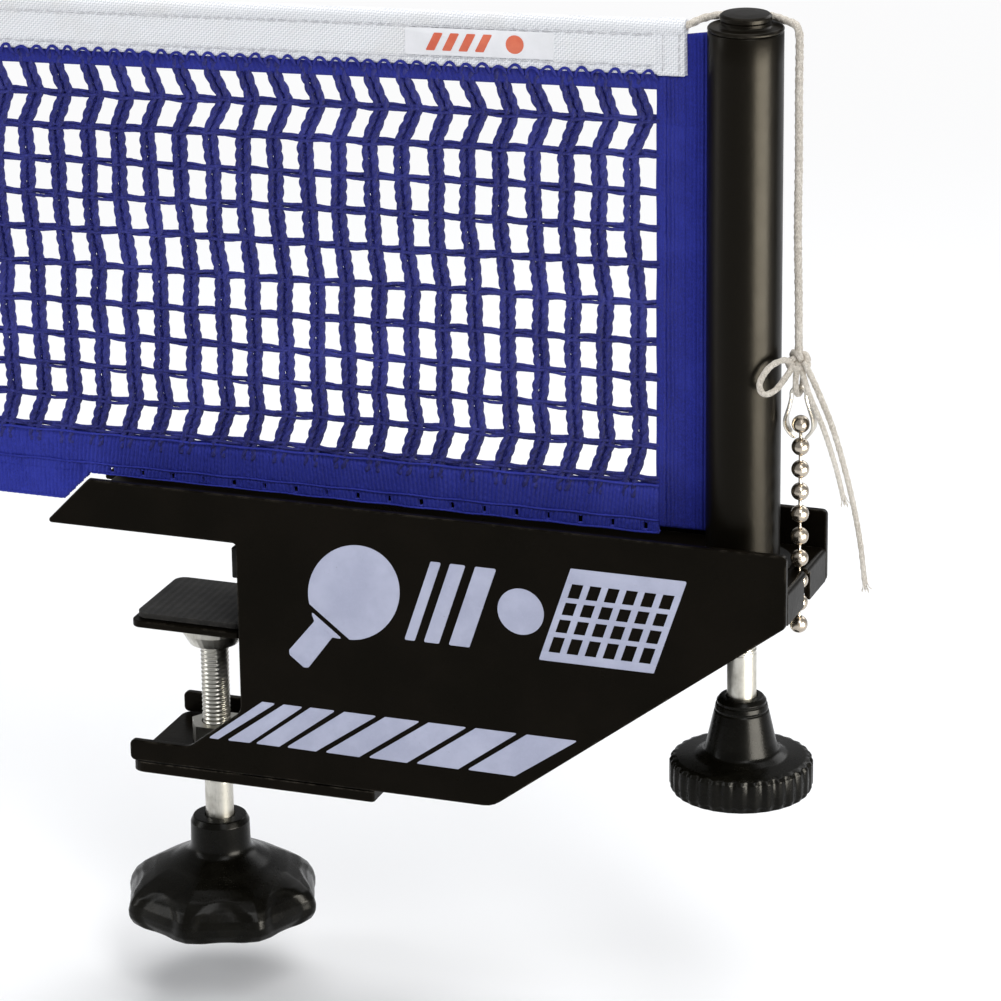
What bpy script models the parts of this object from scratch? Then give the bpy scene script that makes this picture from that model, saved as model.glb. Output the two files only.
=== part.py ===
"""Table tennis net clamp with its post, net end, tension line and two screws.

Frame: x = 0 is the table's side edge and +X points outwards along the net,
y = 0 is the plane of the net, z = 0 is the table's top face.  Sizes are
millimetres and become metres in finish().
"""
import math

import bmesh
import bpy
from mathutils import Vector

MM = 0.001

# ---- shared dimensions, millimetres -----------------------------------------
GAP = 0.3                 # clearance between neighbouring pieces
TABLE_T = 25.0            # thickness of the table the jaw is set to
HALF_W = 20.0             # half the bracket's width
SHEET = 2.0               # thickness of the side plates
INNER = HALF_W - SHEET - GAP  # half width of pieces between the side plates
SCREW_R = 4.0
SCREW_HOLE_R = SCREW_R + GAP
CLAMP_X = -12.0           # axis of the clamp screw
POST_X = 142.5            # axis of the post and its height screw
POST_R = 10.0
POST_WALL = 1.5
POST_BORE_R = POST_R - POST_WALL
PLUG_R = POST_BORE_R - GAP    # pieces that fit inside the post
SLOT_HALF = 1.6           # half width of the slot down the post
CHAIN_X = 158.3
CORD_R = 1.0

for old in list(bpy.data.objects):
    bpy.data.objects.remove(old, do_unlink=True)


# ---- materials --------------------------------------------------------------
def material(name, rgb, roughness, metallic=0.0):
    mat = bpy.data.materials.new(name)
    mat.use_nodes = True
    bsdf = mat.node_tree.nodes["Principled BSDF"]
    bsdf.inputs["Base Color"].default_value = (*rgb, 1.0)
    bsdf.inputs["Roughness"].default_value = roughness
    bsdf.inputs["Metallic"].default_value = metallic
    mat.diffuse_color = (*rgb, 1.0)
    return mat


BLACK = material("black_enamel", rgb=(0.012, 0.012, 0.014), roughness=0.32)
TUBE = material("post_enamel", rgb=(0.010, 0.010, 0.011), roughness=0.25)
RUBBER = material("rubber", rgb=(0.03, 0.03, 0.032), roughness=0.85)
KNOB = material("knob_plastic", rgb=(0.012, 0.012, 0.013), roughness=0.35)
ZINC = material("zinc_steel", rgb=(0.62, 0.62, 0.60), roughness=0.35, metallic=1.0)
NYLON = material("guide_nylon", rgb=(0.05, 0.05, 0.052), roughness=0.5)
NICKEL = material("nickel_beads", rgb=(0.66, 0.60, 0.52), roughness=0.22, metallic=1.0)
CORD = material("cord_white", rgb=(0.80, 0.79, 0.74), roughness=0.8)
TAPE = material("tape_white", rgb=(0.82, 0.84, 0.88), roughness=0.75)
BLUE = material("net_blue", rgb=(0.028, 0.034, 0.32), roughness=0.75)


# ---- outlines and paths -----------------------------------------------------
def rounded(corners, step=18.0):
    """Replace each (u, v, radius) corner by an arc of about step degrees a side."""
    points = []
    for i, (u, v, wanted) in enumerate(corners):
        if wanted <= 0.0:
            points.append((u, v))
            continue
        corner = Vector((u, v))
        back = Vector(corners[i - 1][:2]) - corner
        ahead = Vector(corners[(i + 1) % len(corners)][:2]) - corner
        back_len, ahead_len = back.length, ahead.length
        back.normalize()
        ahead.normalize()
        half = back.angle(ahead) / 2.0
        # the arc takes less than half of either side
        trim = min(wanted / math.tan(half), 0.49 * back_len, 0.49 * ahead_len)
        radius = trim * math.tan(half)
        centre = corner + (back + ahead).normalized() * (radius / math.sin(half))
        start = corner + back * trim - centre
        end = corner + ahead * trim - centre
        turn = start.angle_signed(end)
        steps = max(2, int(abs(math.degrees(turn)) / step) + 1)
        for k in range(steps + 1):
            # angle_signed is clockwise positive
            angle = -turn * k / steps
            cos, sin = math.cos(angle), math.sin(angle)
            points.append((centre.x + cos * start.x - sin * start.y,
                           centre.y + sin * start.x + cos * start.y))
    return points


def rounded_rect(x0, x1, half_y, radius0, radius1):
    """Rectangle in plan, with radius0 at its x0 corners and radius1 at x1."""
    return rounded([(x0, -half_y, radius0), (x1, -half_y, radius1),
                    (x1, half_y, radius1), (x0, half_y, radius0)])


def arc(centre_x, radius, start, end, steps):
    """Points of an arc in plan about (centre_x, 0)."""
    angles = [start + (end - start) * k / steps for k in range(steps + 1)]
    return [(centre_x + radius * math.cos(a), radius * math.sin(a)) for a in angles]


def catmull(points, per):
    """A smooth line through the points, with per steps between neighbours."""
    pts = [Vector(p) for p in points]
    pts = [pts[0] * 2 - pts[1]] + pts + [pts[-1] * 2 - pts[-2]]
    path = []
    for i in range(1, len(pts) - 2):
        p0, p1, p2, p3 = pts[i - 1:i + 3]
        for k in range(per):
            t = k / per
            path.append(0.5 * ((2 * p1) + (p2 - p0) * t
                               + (2 * p0 - 5 * p1 + 4 * p2 - p3) * t * t
                               + (3 * p1 - p0 - 3 * p2 + p3) * t ** 3))
    path.append(pts[-2])
    return path


# ---- solids -----------------------------------------------------------------
def shade(mesh, sharp_angle):
    mesh.shade_smooth()
    mesh.set_sharp_from_angle(angle=math.radians(sharp_angle))


def finish(name, bm, mat, smooth=None, origin=(0.0, 0.0, 0.0)):
    """Scale to metres and link as an object whose origin is at origin."""
    bmesh.ops.remove_doubles(bm, verts=bm.verts, dist=1e-5)
    bmesh.ops.recalc_face_normals(bm, faces=bm.faces)
    bmesh.ops.scale(bm, vec=(MM, MM, MM), verts=bm.verts)
    location = Vector(origin) * MM
    bmesh.ops.translate(bm, vec=-location, verts=bm.verts)
    mesh = bpy.data.meshes.new(name)
    bm.to_mesh(mesh)
    bm.free()
    obj = bpy.data.objects.new(name, mesh)
    bpy.context.scene.collection.objects.link(obj)
    obj.location = location
    mesh.materials.append(mat)
    if smooth is not None:
        shade(mesh, smooth)
    return obj


def prism(name, points, low, high, mat, axis="y", smooth=None):
    """Extrude a closed outline: (x, z) along y, or (x, y) along z."""
    bm = bmesh.new()
    ends = []
    for level in (low, high):
        ends.append([bm.verts.new((u, level, v) if axis == "y" else (u, v, level))
                     for u, v in points])
    bm.faces.new(ends[0])
    bm.faces.new(list(reversed(ends[1])))
    count = len(points)
    for i in range(count):
        j = (i + 1) % count
        bm.faces.new((ends[0][i], ends[1][i], ends[1][j], ends[0][j]))
    return finish(name, bm, mat, smooth)


def box(name, x0, x1, half_y, z0, z1, mat):
    return prism(name, [(x0, z0), (x1, z0), (x1, z1), (x0, z1)], -half_y, half_y, mat)


def lathe(name, profile, centre_x, mat, segments=32, shape=None, loop=False,
          smooth=40, origin=None):
    """Turn a (radius, z) profile about the upright line through (centre_x, 0).

    shape(angle, radius, z) may return another radius.  Without loop the
    profile starts and ends on the axis.
    """
    bm = bmesh.new()
    rings = []
    for radius, z in profile:
        if radius <= 1e-9:
            rings.append([bm.verts.new((centre_x, 0.0, z))])
            continue
        ring = []
        for k in range(segments):
            angle = 2.0 * math.pi * k / segments
            shaped = shape(angle, radius, z) if shape else radius
            ring.append(bm.verts.new((centre_x + shaped * math.cos(angle),
                                      shaped * math.sin(angle), z)))
        rings.append(ring)
    pairs = list(zip(rings, rings[1:]))
    if loop:
        pairs.append((rings[-1], rings[0]))
    for this, after in pairs:
        for k in range(segments):
            m = (k + 1) % segments
            if len(this) == 1:
                bm.faces.new((this[0], after[m], after[k]))
            elif len(after) == 1:
                bm.faces.new((this[k], this[m], after[0]))
            else:
                bm.faces.new((this[k], this[m], after[m], after[k]))
    return finish(name, bm, mat, smooth, origin or (centre_x, 0.0, 0.0))


def collar(name, centre_x, radius, z0, z1, segments):
    """A plain zinc ring around a screw."""
    return lathe(name, [(SCREW_HOLE_R, z0), (radius, z0), (radius, z1),
                        (SCREW_HOLE_R, z1)], centre_x, ZINC, segments, loop=True)


def screw(name, centre_x, z0, z1):
    """A plain rod with chamfered ends."""
    end_r, chamfer = 3.4, 0.6
    return lathe(name, [(0, z0), (end_r, z0), (SCREW_R, z0 + chamfer),
                        (SCREW_R, z1 - chamfer), (end_r, z1), (0, z1)],
                 centre_x, ZINC, 24)


def sweep(name, path, radius, mat, sides=8, origin=(0.0, 0.0, 0.0)):
    """A round wire with flat ends along a path."""
    path = [Vector(p) for p in path]
    last = len(path) - 1

    def tangent(i):
        return (path[min(i + 1, last)] - path[max(i - 1, 0)]).normalized()

    bm = bmesh.new()
    side = tangent(0).orthogonal().normalized()
    rings = []
    for i, point in enumerate(path):
        along = tangent(i)
        # carry the previous side direction on, so that the wire doesn't twist
        side = (side - along * side.dot(along)).normalized()
        up = along.cross(side)
        angles = [2 * math.pi * k / sides for k in range(sides)]
        rings.append([bm.verts.new(point + side * (radius * math.cos(a))
                                   + up * (radius * math.sin(a))) for a in angles])
    for this, after in zip(rings, rings[1:]):
        for k in range(sides):
            m = (k + 1) % sides
            bm.faces.new((this[k], this[m], after[m], after[k]))
    bm.faces.new(list(reversed(rings[0])))
    bm.faces.new(rings[-1])
    return finish(name, bm, mat, smooth=50, origin=origin)


# ---- modifiers --------------------------------------------------------------
def bevel(obj, width):
    mod = obj.modifiers.new("edge", "BEVEL")
    mod.width = width * MM
    mod.segments = 2
    mod.limit_method = "ANGLE"
    mod.angle_limit = math.radians(40.0)
    shade(obj.data, 35)


def cut(obj, cutter):
    cutter.hide_render = True
    cutter.display_type = "WIRE"
    mod = obj.modifiers.new("cut", "BOOLEAN")
    mod.operation = "DIFFERENCE"
    mod.solver = "EXACT"
    mod.object = cutter


def drill(obj, name, centre_x, radius, z0, z1, segments=32):
    """Cut an upright round hole with a helper of the object's own material."""
    cut(obj, lathe(name, [(0, z0), (radius, z0), (radius, z1), (0, z1)], centre_x,
                   obj.data.materials[0], segments, smooth=None))


# ==== bracket ================================================================
ARM_TOP = 14.5            # top edge of the side plates
OUT_X = 160.5             # outer end of the bracket
OUT_Z = -5.5              # lower corner of the outer end
THROAT_X = 4.0            # back of the jaw
JAW_X = -30.0             # tip of the lower jaw
JAW_Z = -67.5             # bottom edge of the side plates
JAW_LEDGE_Z = -61.4       # top edge of the lower jaw
JAW_PLATE_T = 3.0
WEB_Z0, WEB_Z1 = 2.5, 4.0
UNDER_WEB = WEB_Z0 - GAP  # top of the pieces that hang below the web
BUSH_BORE_R = POST_R + 0.35
BUSH_R = 12.0
BUSH_FLANGE_R = 13.2
BUSH_Z0, BUSH_Z1 = -10.0, 5.5
KEY_INSET = 0.5           # guide key short of each end of the bush
BRIDGE_X = 118.0
BRIDGE_Z0 = -13.5
BRIDGE_Z1 = BRIDGE_Z0 + SHEET

# Side plates: a long arm over the table, a deep wedge under it outside the
# table's edge, and a short lower jaw that reaches back under the table.
SIDE = rounded([          # x, z, corner radius
    (-53.0, 0.6, 0.8), (-39.6, ARM_TOP, 1.2), (OUT_X, ARM_TOP, 1.5),
    (OUT_X, OUT_Z, 2.0), (77.7, JAW_Z, 8.0), (JAW_X, JAW_Z, 1.5),
    (JAW_X, JAW_LEDGE_Z, 1.5), (-12.0, JAW_LEDGE_Z, 4.0),
    (THROAT_X, -49.0, 4.0), (THROAT_X, 0.6, 1.0)])
for plate_name, plate_y in (("front_side_plate", -HALF_W),
                            ("rear_side_plate", HALF_W - SHEET)):
    bevel(prism(plate_name, SIDE, plate_y, plate_y + SHEET, BLACK), 0.35)

# Web of the arm: runs between the side plates and turns down at the outer end.
WEB_TIP = -46.0
LIP_X = OUT_X - (WEB_Z1 - WEB_Z0)
WEB = rounded([           # x, z, corner radius
    (WEB_TIP, WEB_Z0, 0), (LIP_X, WEB_Z0, 0), (LIP_X, OUT_Z, 0),
    (OUT_X, OUT_Z, 0), (OUT_X, WEB_Z1, 1.4), (WEB_TIP, WEB_Z1, 0)])
arm_web_plate = prism("arm_web_plate", WEB, -INNER, INNER, BLACK)
drill(arm_web_plate, "cut_web_post", POST_X, BUSH_R + GAP, -2, 9, segments=48)
cut(arm_web_plate, box("cut_chain_slot", CHAIN_X - 1.6, OUT_X + 3, 1.2,
                       WEB_Z0 - 2, WEB_Z1 + 2, BLACK))
cut(arm_web_plate, box("cut_lip_notch", OUT_X - 4.8, OUT_X + 3, 2.9,
                       OUT_Z - 2, WEB_Z0, BLACK))

# Upright plate across the back of the jaw.
throat_plate = box("throat_plate", THROAT_X + GAP, THROAT_X + GAP + SHEET, INNER,
                   -48.0, UNDER_WEB, BLACK)
bevel(throat_plate, 0.3)

# Plate under the lower edges of the side plates.
lower_jaw_plate = prism("lower_jaw_plate", rounded_rect(JAW_X, 43.0, HALF_W, 4.0, 1.0),
                        JAW_Z - GAP - JAW_PLATE_T, JAW_Z - GAP, BLACK, axis="z")
drill(lower_jaw_plate, "cut_jaw_screw", CLAMP_X, SCREW_HOLE_R, -75, -60)

# Hexagonal nut that the clamp screw turns in.
NUT_CORNER_R = 7.5
HEXAGON = [(CLAMP_X + NUT_CORNER_R * math.cos(math.radians(60 * k)),
            NUT_CORNER_R * math.sin(math.radians(60 * k))) for k in range(6)]
clamp_nut = prism("clamp_nut", HEXAGON, JAW_Z, -61.0, ZINC, axis="z")
drill(clamp_nut, "cut_nut_screw", CLAMP_X, SCREW_HOLE_R, -75, -55)

# Rubber between the arm and the table's top, and against the table's edge.
under_arm_pad = prism("under_arm_pad", rounded_rect(-35.0, 3.4, 15.5, 3.0, 3.0),
                      0.0, UNDER_WEB, RUBBER, axis="z")
bevel(under_arm_pad, 0.4)
table_edge_buffer = box("table_edge_buffer", 0.0, THROAT_X, 14.0, -12.0, -3.0, RUBBER)
bevel(table_edge_buffer, 0.5)

# Guide bush of the post: a collar through the web with a flange on top of it.
lathe("post_guide_bush", [
    (BUSH_BORE_R, BUSH_Z0), (BUSH_R, BUSH_Z0), (BUSH_R, WEB_Z1 + GAP),
    (BUSH_FLANGE_R, WEB_Z1 + GAP), (BUSH_FLANGE_R, BUSH_Z1),
    (BUSH_BORE_R, BUSH_Z1)], POST_X, NYLON, 48, loop=True)

# Key standing in the post's slot.
box("guide_key", POST_X - BUSH_BORE_R + GAP, POST_X - 8.6, SLOT_HALF - GAP,
    BUSH_Z0 + KEY_INSET, BUSH_Z1 - KEY_INSET, NYLON)

# Bridge: an angle hung from the web, carrying the height screw.
BRIDGE = [                # x, z
    (BRIDGE_X, BRIDGE_Z0), (149.0, BRIDGE_Z0), (149.0, BRIDGE_Z1),
    (BRIDGE_X + SHEET, BRIDGE_Z1), (BRIDGE_X + SHEET, UNDER_WEB),
    (BRIDGE_X, UNDER_WEB)]
adjust_bridge = prism("adjust_bridge", BRIDGE, -INNER, INNER, BLACK)
drill(adjust_bridge, "cut_bridge_screw", POST_X, SCREW_HOLE_R, -18, -8)

# ==== clamp ==================================================================
PAD_Z0 = -TABLE_T - 1.5
PRESS_Z1 = PAD_Z0 - GAP       # top of the pressure plate
PRESS_Z0 = PRESS_Z1 - 2.0
CUP_Z0, CUP_Z1 = -37.0, PRESS_Z0 - GAP
CUP_FLOOR = -31.2             # end of the cup's bore
CLAMP_SCREW_Z0 = -112.0
KNOB_PLAY = 0.4               # from a screw's lower end to its knob

prism("pressure_pad_rubber", rounded_rect(-29.0, 3.3, 15.0, 3.0, 3.0),
      PAD_Z0, -TABLE_T, RUBBER, axis="z")

pressure_plate = prism("pressure_plate", rounded_rect(-30.0, 3.6, 17.0, 3.0, 3.0),
                       PRESS_Z0, PRESS_Z1, ZINC, axis="z")
bevel(pressure_plate, 0.3)

# Cup under the pressure plate, over the upper end of the clamp screw.
lathe("swivel_cup", [
    (0, CUP_Z1), (9.0, CUP_Z1), (9.0, -33.5), (7.0, CUP_Z0),
    (SCREW_HOLE_R, CUP_Z0), (SCREW_HOLE_R, CUP_FLOOR), (0, CUP_FLOOR)],
    CLAMP_X, ZINC)

screw("clamp_screw", CLAMP_X, CLAMP_SCREW_Z0, CUP_FLOOR - GAP)


def lobes(count):
    """Radius of a skirt whose sides are hollowed more towards its lower edge."""
    def shaped(angle, radius, z):
        grow = min(1.0, max(0.0, (radius - 14.0) / 8.0))
        low = min(1.0, max(0.0, (-106.0 - z) / 11.0))
        return radius * (1.0 - (0.035 + 0.055 * low) * grow
                         * (0.5 - 0.5 * math.cos(count * angle)))
    return shaped


# Clamp knob: slim hub flaring into an eight-lobed skirt.
CLAMP_KNOB = [            # radius, z
    (0, -118.2), (17.0, -119.2), (24.8, -119.6), (27.8, -118.2),
    (29.4, -115.2), (29.2, -112.4), (27.4, -110.3), (24.6, -109.2),
    (20.0, -107.0), (14.4, -103.8), (10.6, -101.2), (8.9, -98.6),
    (8.4, -95.0), (8.4, -91.0), (7.6, -89.6), (SCREW_HOLE_R, -89.6),
    (SCREW_HOLE_R, CLAMP_SCREW_Z0 - KNOB_PLAY), (0, CLAMP_SCREW_Z0 - KNOB_PLAY)]
lathe("clamp_knob", CLAMP_KNOB, CLAMP_X, KNOB, 48, shape=lobes(8))

# ==== post ===================================================================
POST_Z0, POST_Z1 = -6.0, 150.0
CAP_SEAT = POST_Z1 + GAP

# Tube with a slot down its side towards the table.
slot_outer = math.asin(SLOT_HALF / POST_R)
slot_inner = math.asin(SLOT_HALF / POST_BORE_R)
TUBE_PLAN = (
    arc(POST_X, POST_R, math.pi + slot_outer, 3 * math.pi - slot_outer, 46)
    + arc(POST_X, POST_BORE_R, 3 * math.pi - slot_inner, math.pi + slot_inner, 46))
prism("post_tube", TUBE_PLAN, POST_Z0, POST_Z1, TUBE, axis="z", smooth=40)

# Nut inside the tube, on the height screw.
collar("post_nut", POST_X, PLUG_R, -1.0, 11.5, 32)

# Cap: a plug in the tube, with a groove above its rim.
lathe("post_cap", [
    (0, 144.0), (PLUG_R, 144.0), (PLUG_R, CAP_SEAT), (9.5, CAP_SEAT),
    (9.5, 151.0), (7.0, 151.1), (6.4, 151.5), (6.4, 153.3), (7.2, 153.6),
    (7.2, 154.4), (6.5, 154.9), (0, 155.0)], POST_X, KNOB)

# Upright rod inside the tube.
lathe("net_hem_rod", [(0, 22.0), (2.2, 22.0), (2.2, 143.4), (0, 143.4)],
      138.0, ZINC, 16)

# ==== net ====================================================================
NET_H = 152.5             # full height of the net's top edge
NET_DROP = 1.3            # upper edge at DROP_X, below full height
NET_SLOPE = 0.036         # fall of the slack upper edge away from the post
DROP_X = 122.0
BAND_X = 119.0            # edge of the side band that faces the panel
NET_X0, NET_X1 = -84.0, BAND_X - GAP
NET_Z0 = 9.6              # bottom of the net inside the arm
NET_LOW = 0.6             # bottom of the net beyond the arm
HEM_Z1 = 20.6
PANEL_Z0 = HEM_Z1 + GAP
PANEL_Z1, TAPE_Z0 = 137.6, 138.0  # panel top and tape bottom, before the drop
TAPE_X1 = 126.5


def slack(x, z):
    """The point (x, z) lowered as the hanging net's upper edge is there."""
    return x, z - (NET_DROP + NET_SLOPE * (DROP_X - x))


BAND = [                  # x, z
    (BAND_X, 12.0), (135.5, 12.0), (135.5, 143.5), (133.9, 143.5),
    (133.9, 148.9), (126.8, 148.9), (126.8, 136.2), (BAND_X, 136.2)]
prism("net_side_band", BAND, -0.8, 0.8, BLUE)

prism("net_panel", [
    (NET_X0, PANEL_Z0), (NET_X1, PANEL_Z0), slack(NET_X1, PANEL_Z1),
    slack(NET_X0, PANEL_Z1)], -0.6, 0.6, BLUE)

# The hem hangs to the table beyond the arm and rises into the arm's channel.
prism("net_bottom_hem", [
    (NET_X0, NET_LOW), (-56.0, NET_LOW), (-47.0, NET_Z0), (NET_X1, NET_Z0),
    (NET_X1, HEM_Z1), (NET_X0, HEM_Z1)], -1.0, 1.0, BLUE)

net_top_tape = prism("net_top_tape", [
    slack(NET_X0, TAPE_Z0), slack(TAPE_X1, TAPE_Z0), slack(TAPE_X1, NET_H),
    slack(NET_X0, NET_H)], -1.3, 1.3, TAPE)
bevel(net_top_tape, 0.6)

# Cord from the tape's end, round the cap's groove on the +Y side.
CAP_CORD_Z = 152.3
sweep("cord_over_post", catmull([
    (127.3, 0.0, 150.3), (131.0, 2.4, 151.8), (136.6, 6.4, CAP_CORD_Z),
    (POST_X, 7.8, CAP_CORD_Z), (148.4, 6.4, CAP_CORD_Z),
    (152.8, 2.8, CAP_CORD_Z), (155.4, 0.3, 152.1)], 4), CORD_R, CORD)

# ==== height adjuster ========================================================
ADJUST_SCREW_Z0 = -55.0
COLLAR_Z0 = BRIDGE_Z1 + GAP
CLIP_Z1 = BRIDGE_Z0 - GAP

screw("adjust_screw", POST_X, ADJUST_SCREW_Z0, 16.0)

# Rings on the screw, above and below the bridge.
collar("thrust_collar", POST_X, 6.6, COLLAR_Z0, COLLAR_Z0 + 3.0, 24)
collar("retaining_clip", POST_X, 6.4, CLIP_Z1 - 1.4, CLIP_Z1, 24)


def flutes(count, depth, from_radius):
    """Radius of a rim, from from_radius outwards, with upright grooves."""
    def shaped(angle, radius, z):
        if radius < from_radius:
            return radius
        return radius - depth * (0.5 - 0.5 * math.cos(count * angle))
    return shaped


# Height knob: hub widening to a flat disc with a fluted rim.
ADJUST_KNOB = [           # radius, z
    (0, -61.2), (17.0, -61.5), (18.6, -61.0), (19.5, -59.8), (19.5, -54.6),
    (18.9, -53.6), (17.6, -53.2), (12.6, -52.6), (10.4, -51.2), (9.5, -48.6),
    (8.6, -44.0), (7.3, -37.4), (6.6, -35.0), (5.8, -34.0),
    (SCREW_HOLE_R, -34.0), (SCREW_HOLE_R, ADJUST_SCREW_Z0 - KNOB_PLAY),
    (0, ADJUST_SCREW_Z0 - KNOB_PLAY)]
lathe("adjust_knob", ADJUST_KNOB, POST_X, KNOB, 64,
      shape=flutes(count=32, depth=0.9, from_radius=18.2))

# ==== tension line ===========================================================
PIVOT = (157.8, 0.0, 52.9)    # the cord loop the chain hangs from
LOOP_R = 3.0

sweep("tension_cord", [
    (156.8, 0.0, 153.2), (156.95, 0.0, 120.0), (157.2, 0.0, 90.0),
    (157.5, 0.0, 65.2)], CORD_R, CORD)

lathe("line_knot", [
    (0, 59.6), (1.8, 59.9), (2.7, 61.2), (2.8, 62.4), (2.2, 63.8),
    (1.2, 64.8), (0, 64.9)], 157.6, CORD, 12)

# The loop through the wire link, below the knot and open at its top.
loop_angles = [math.radians(-134 + 268 * k / 16) for k in range(17)]
sweep("knot_loop", [
    (PIVOT[0], LOOP_R * math.sin(a), PIVOT[2] + LOOP_R - LOOP_R * math.cos(a))
    for a in loop_angles], 0.9, CORD)

# The bow beside the knot and the cord's two loose ends: x, y, z.
LOOSE_CORDS = {
    "bow_loop": [
        (155.0, -3.6, 63.2), (151.5, -9.5, 62.4), (149.3, -12.6, 58.8),
        (148.9, -13.0, 55.8), (151.0, -12.8, 53.6), (154.0, -10.0, 54.8),
        (155.6, -4.6, 59.2)],
    "cord_tail_long": [
        (160.6, -3.4, 61.6), (164.2, -5.2, 56.4), (169.0, -5.8, 45.6),
        (173.4, -6.0, 31.0), (176.4, -6.0, 17.0), (178.3, -6.0, 1.8)],
    "cord_tail_short": [
        (160.3, -4.6, 58.9), (163.2, -8.0, 55.0), (167.0, -8.6, 47.0),
        (170.6, -8.8, 36.5), (173.2, -8.8, 26.5)],
}
for cord_name, stations in LOOSE_CORDS.items():
    sweep(cord_name, catmull(stations, 4), CORD_R, CORD)

# ==== link and chain =========================================================
LINK_WIRE_R = 0.8
LINK_TOP_R = 2.0          # bend of the link over the cord loop
LINK_TOP_Z = PIVOT[2] + 0.2
BEAD_R = 2.2
BEAD_PITCH = 6.26
BEADS = 10
BEAD_TOP = 43.96          # centre of the uppermost bead
NECK_R = 0.6
CHAIN_END_Z = BEAD_TOP + BEAD_R + 0.75

# Link: a teardrop of wire in the plane of the net, hung on the cord loop and
# open at its lower tip, where it grips the chain's first bead.
link_angles = [math.radians(150 - 20 * k) for k in range(7)]
LINK = (
    [(157.0, 0.0, 41.0), (156.0, 0.0, 42.1), (155.0, 0.0, 44.0),
     (154.9, 0.0, 46.0), (155.5, 0.0, 49.4), (155.8, 0.0, 52.2)]
    + [(PIVOT[0] + LINK_TOP_R * math.cos(a), 0.0,
        LINK_TOP_Z + LINK_TOP_R * math.sin(a)) for a in link_angles]
    + [(160.1, 0.0, 52.0), (160.7, 0.0, 49.4), (161.6, 0.0, 46.2),
       (161.6, 0.0, 44.0), (160.7, 0.0, 42.1), (159.7, 0.0, 41.0)])
sweep("wire_link", catmull(LINK, 2), LINK_WIRE_R, ZINC, origin=PIVOT)

# Bead chain: balls joined by short wire necks.
neck_angle = math.asin(NECK_R / BEAD_R)
chain = [(0, CHAIN_END_Z), (NECK_R, CHAIN_END_Z)]
for i in range(BEADS):
    bead_z = BEAD_TOP - BEAD_PITCH * i
    for k in range(6):
        polar = neck_angle + (math.pi - 2 * neck_angle) * k / 5
        chain.append((BEAD_R * math.sin(polar), bead_z + BEAD_R * math.cos(polar)))
# the last bead closes to a point instead of a neck
chain[-1] = (0, BEAD_TOP - BEAD_PITCH * (BEADS - 1) - BEAD_R)
lathe("bead_chain", chain, CHAIN_X, NICKEL, 10, smooth=60, origin=PIVOT)
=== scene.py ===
# A net post with its table clamp, and the end of the blue net it carries.
# The post stands along z, right of the clamp; the net hangs in the plane y = 0 and runs from
# the post towards -x. The front is -y. Two screws with knobs hang below the bracket, and a
# cord with a bead chain hangs right of the post. Geometry is in millimetres until it is meshed.
import math

import bpy
import numpy as np
from mathutils import Matrix, Vector


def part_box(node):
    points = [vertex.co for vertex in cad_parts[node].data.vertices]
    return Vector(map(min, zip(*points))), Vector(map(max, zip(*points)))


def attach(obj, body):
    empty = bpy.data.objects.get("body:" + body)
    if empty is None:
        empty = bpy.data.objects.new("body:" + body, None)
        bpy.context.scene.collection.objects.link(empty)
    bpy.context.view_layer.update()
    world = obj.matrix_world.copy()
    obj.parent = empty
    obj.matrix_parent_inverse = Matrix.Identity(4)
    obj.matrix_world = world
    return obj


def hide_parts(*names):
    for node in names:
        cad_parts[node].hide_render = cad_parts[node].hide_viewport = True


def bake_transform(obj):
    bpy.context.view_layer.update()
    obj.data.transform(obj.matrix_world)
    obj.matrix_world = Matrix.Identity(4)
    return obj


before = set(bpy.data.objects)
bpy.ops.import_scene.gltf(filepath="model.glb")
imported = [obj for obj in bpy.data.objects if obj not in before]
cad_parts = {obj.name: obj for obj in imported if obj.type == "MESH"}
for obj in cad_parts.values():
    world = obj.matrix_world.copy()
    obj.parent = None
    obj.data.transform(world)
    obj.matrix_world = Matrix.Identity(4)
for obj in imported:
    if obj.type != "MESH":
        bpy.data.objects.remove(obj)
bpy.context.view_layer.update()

RNG = np.random.default_rng(11)
PI = math.pi


# ------------------------------------------------------------------ places read from the parts in model.glb
def box(node):
    low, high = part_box(node)
    return np.array(low) * 1000.0, np.array(high) * 1000.0


def middle_x(low, high):
    return (low[0] + high[0]) / 2


POST_LO, POST_HI = box("post_tube")
POST_X = middle_x(POST_LO, POST_HI)
POST_R = (POST_HI[0] - POST_LO[0]) / 2
NET_LEFT = box("net_panel")[0][0]
TAPE_LEFT, TAPE_RIGHT = (corner[0] for corner in box("net_top_tape"))
HEM_LEFT, _, HEM_FOOT = box("net_bottom_hem")[0]
SIDE_LEFT = box("net_side_band")[0][0]
PLATE_FRONT = box("front_side_plate")[0][1]
SCREW_LO, SCREW_HI = box("clamp_screw")
SCREW_X = middle_x(SCREW_LO, SCREW_HI)
ADJ_LO, ADJ_HI = box("adjust_screw")
ADJ_X = middle_x(ADJ_LO, ADJ_HI)
CHAIN_LO, CHAIN_HI = box("bead_chain")
CHAIN_X = middle_x(CHAIN_LO, CHAIN_HI)

# Slack of the net: its drop at DROP_X, growing towards -x, and its fade close to the post.
NET_DROP, NET_SLOPE = 1.3, 0.036
DROP_X, SLOPE_END_X = 122.0, 126.5
FADE_END_X, FADE_LENGTH = 134.0, 7.5
STILL_Z, HANG_HEIGHT, HANG_POWER = 9.6, 128.4, 0.42


# ------------------------------------------------------------------ number helpers
def clip01(value):
    return np.clip(value, 0, 1)


def smooth(value):
    return value * value * (3 - 2 * value)


def bell(value, centre, width):
    return np.exp(-((value - centre) / width) ** 2)


def unit(vectors):
    return vectors / np.maximum(np.linalg.norm(vectors, axis=-1, keepdims=True), 1e-12)


def path(x, y, z):
    """Points from coordinates that may be arrays or single numbers."""
    return np.stack(np.broadcast_arrays(x, y, z), -1)


def turn(count):
    return np.linspace(0, 2 * PI, count, endpoint=False)


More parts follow.
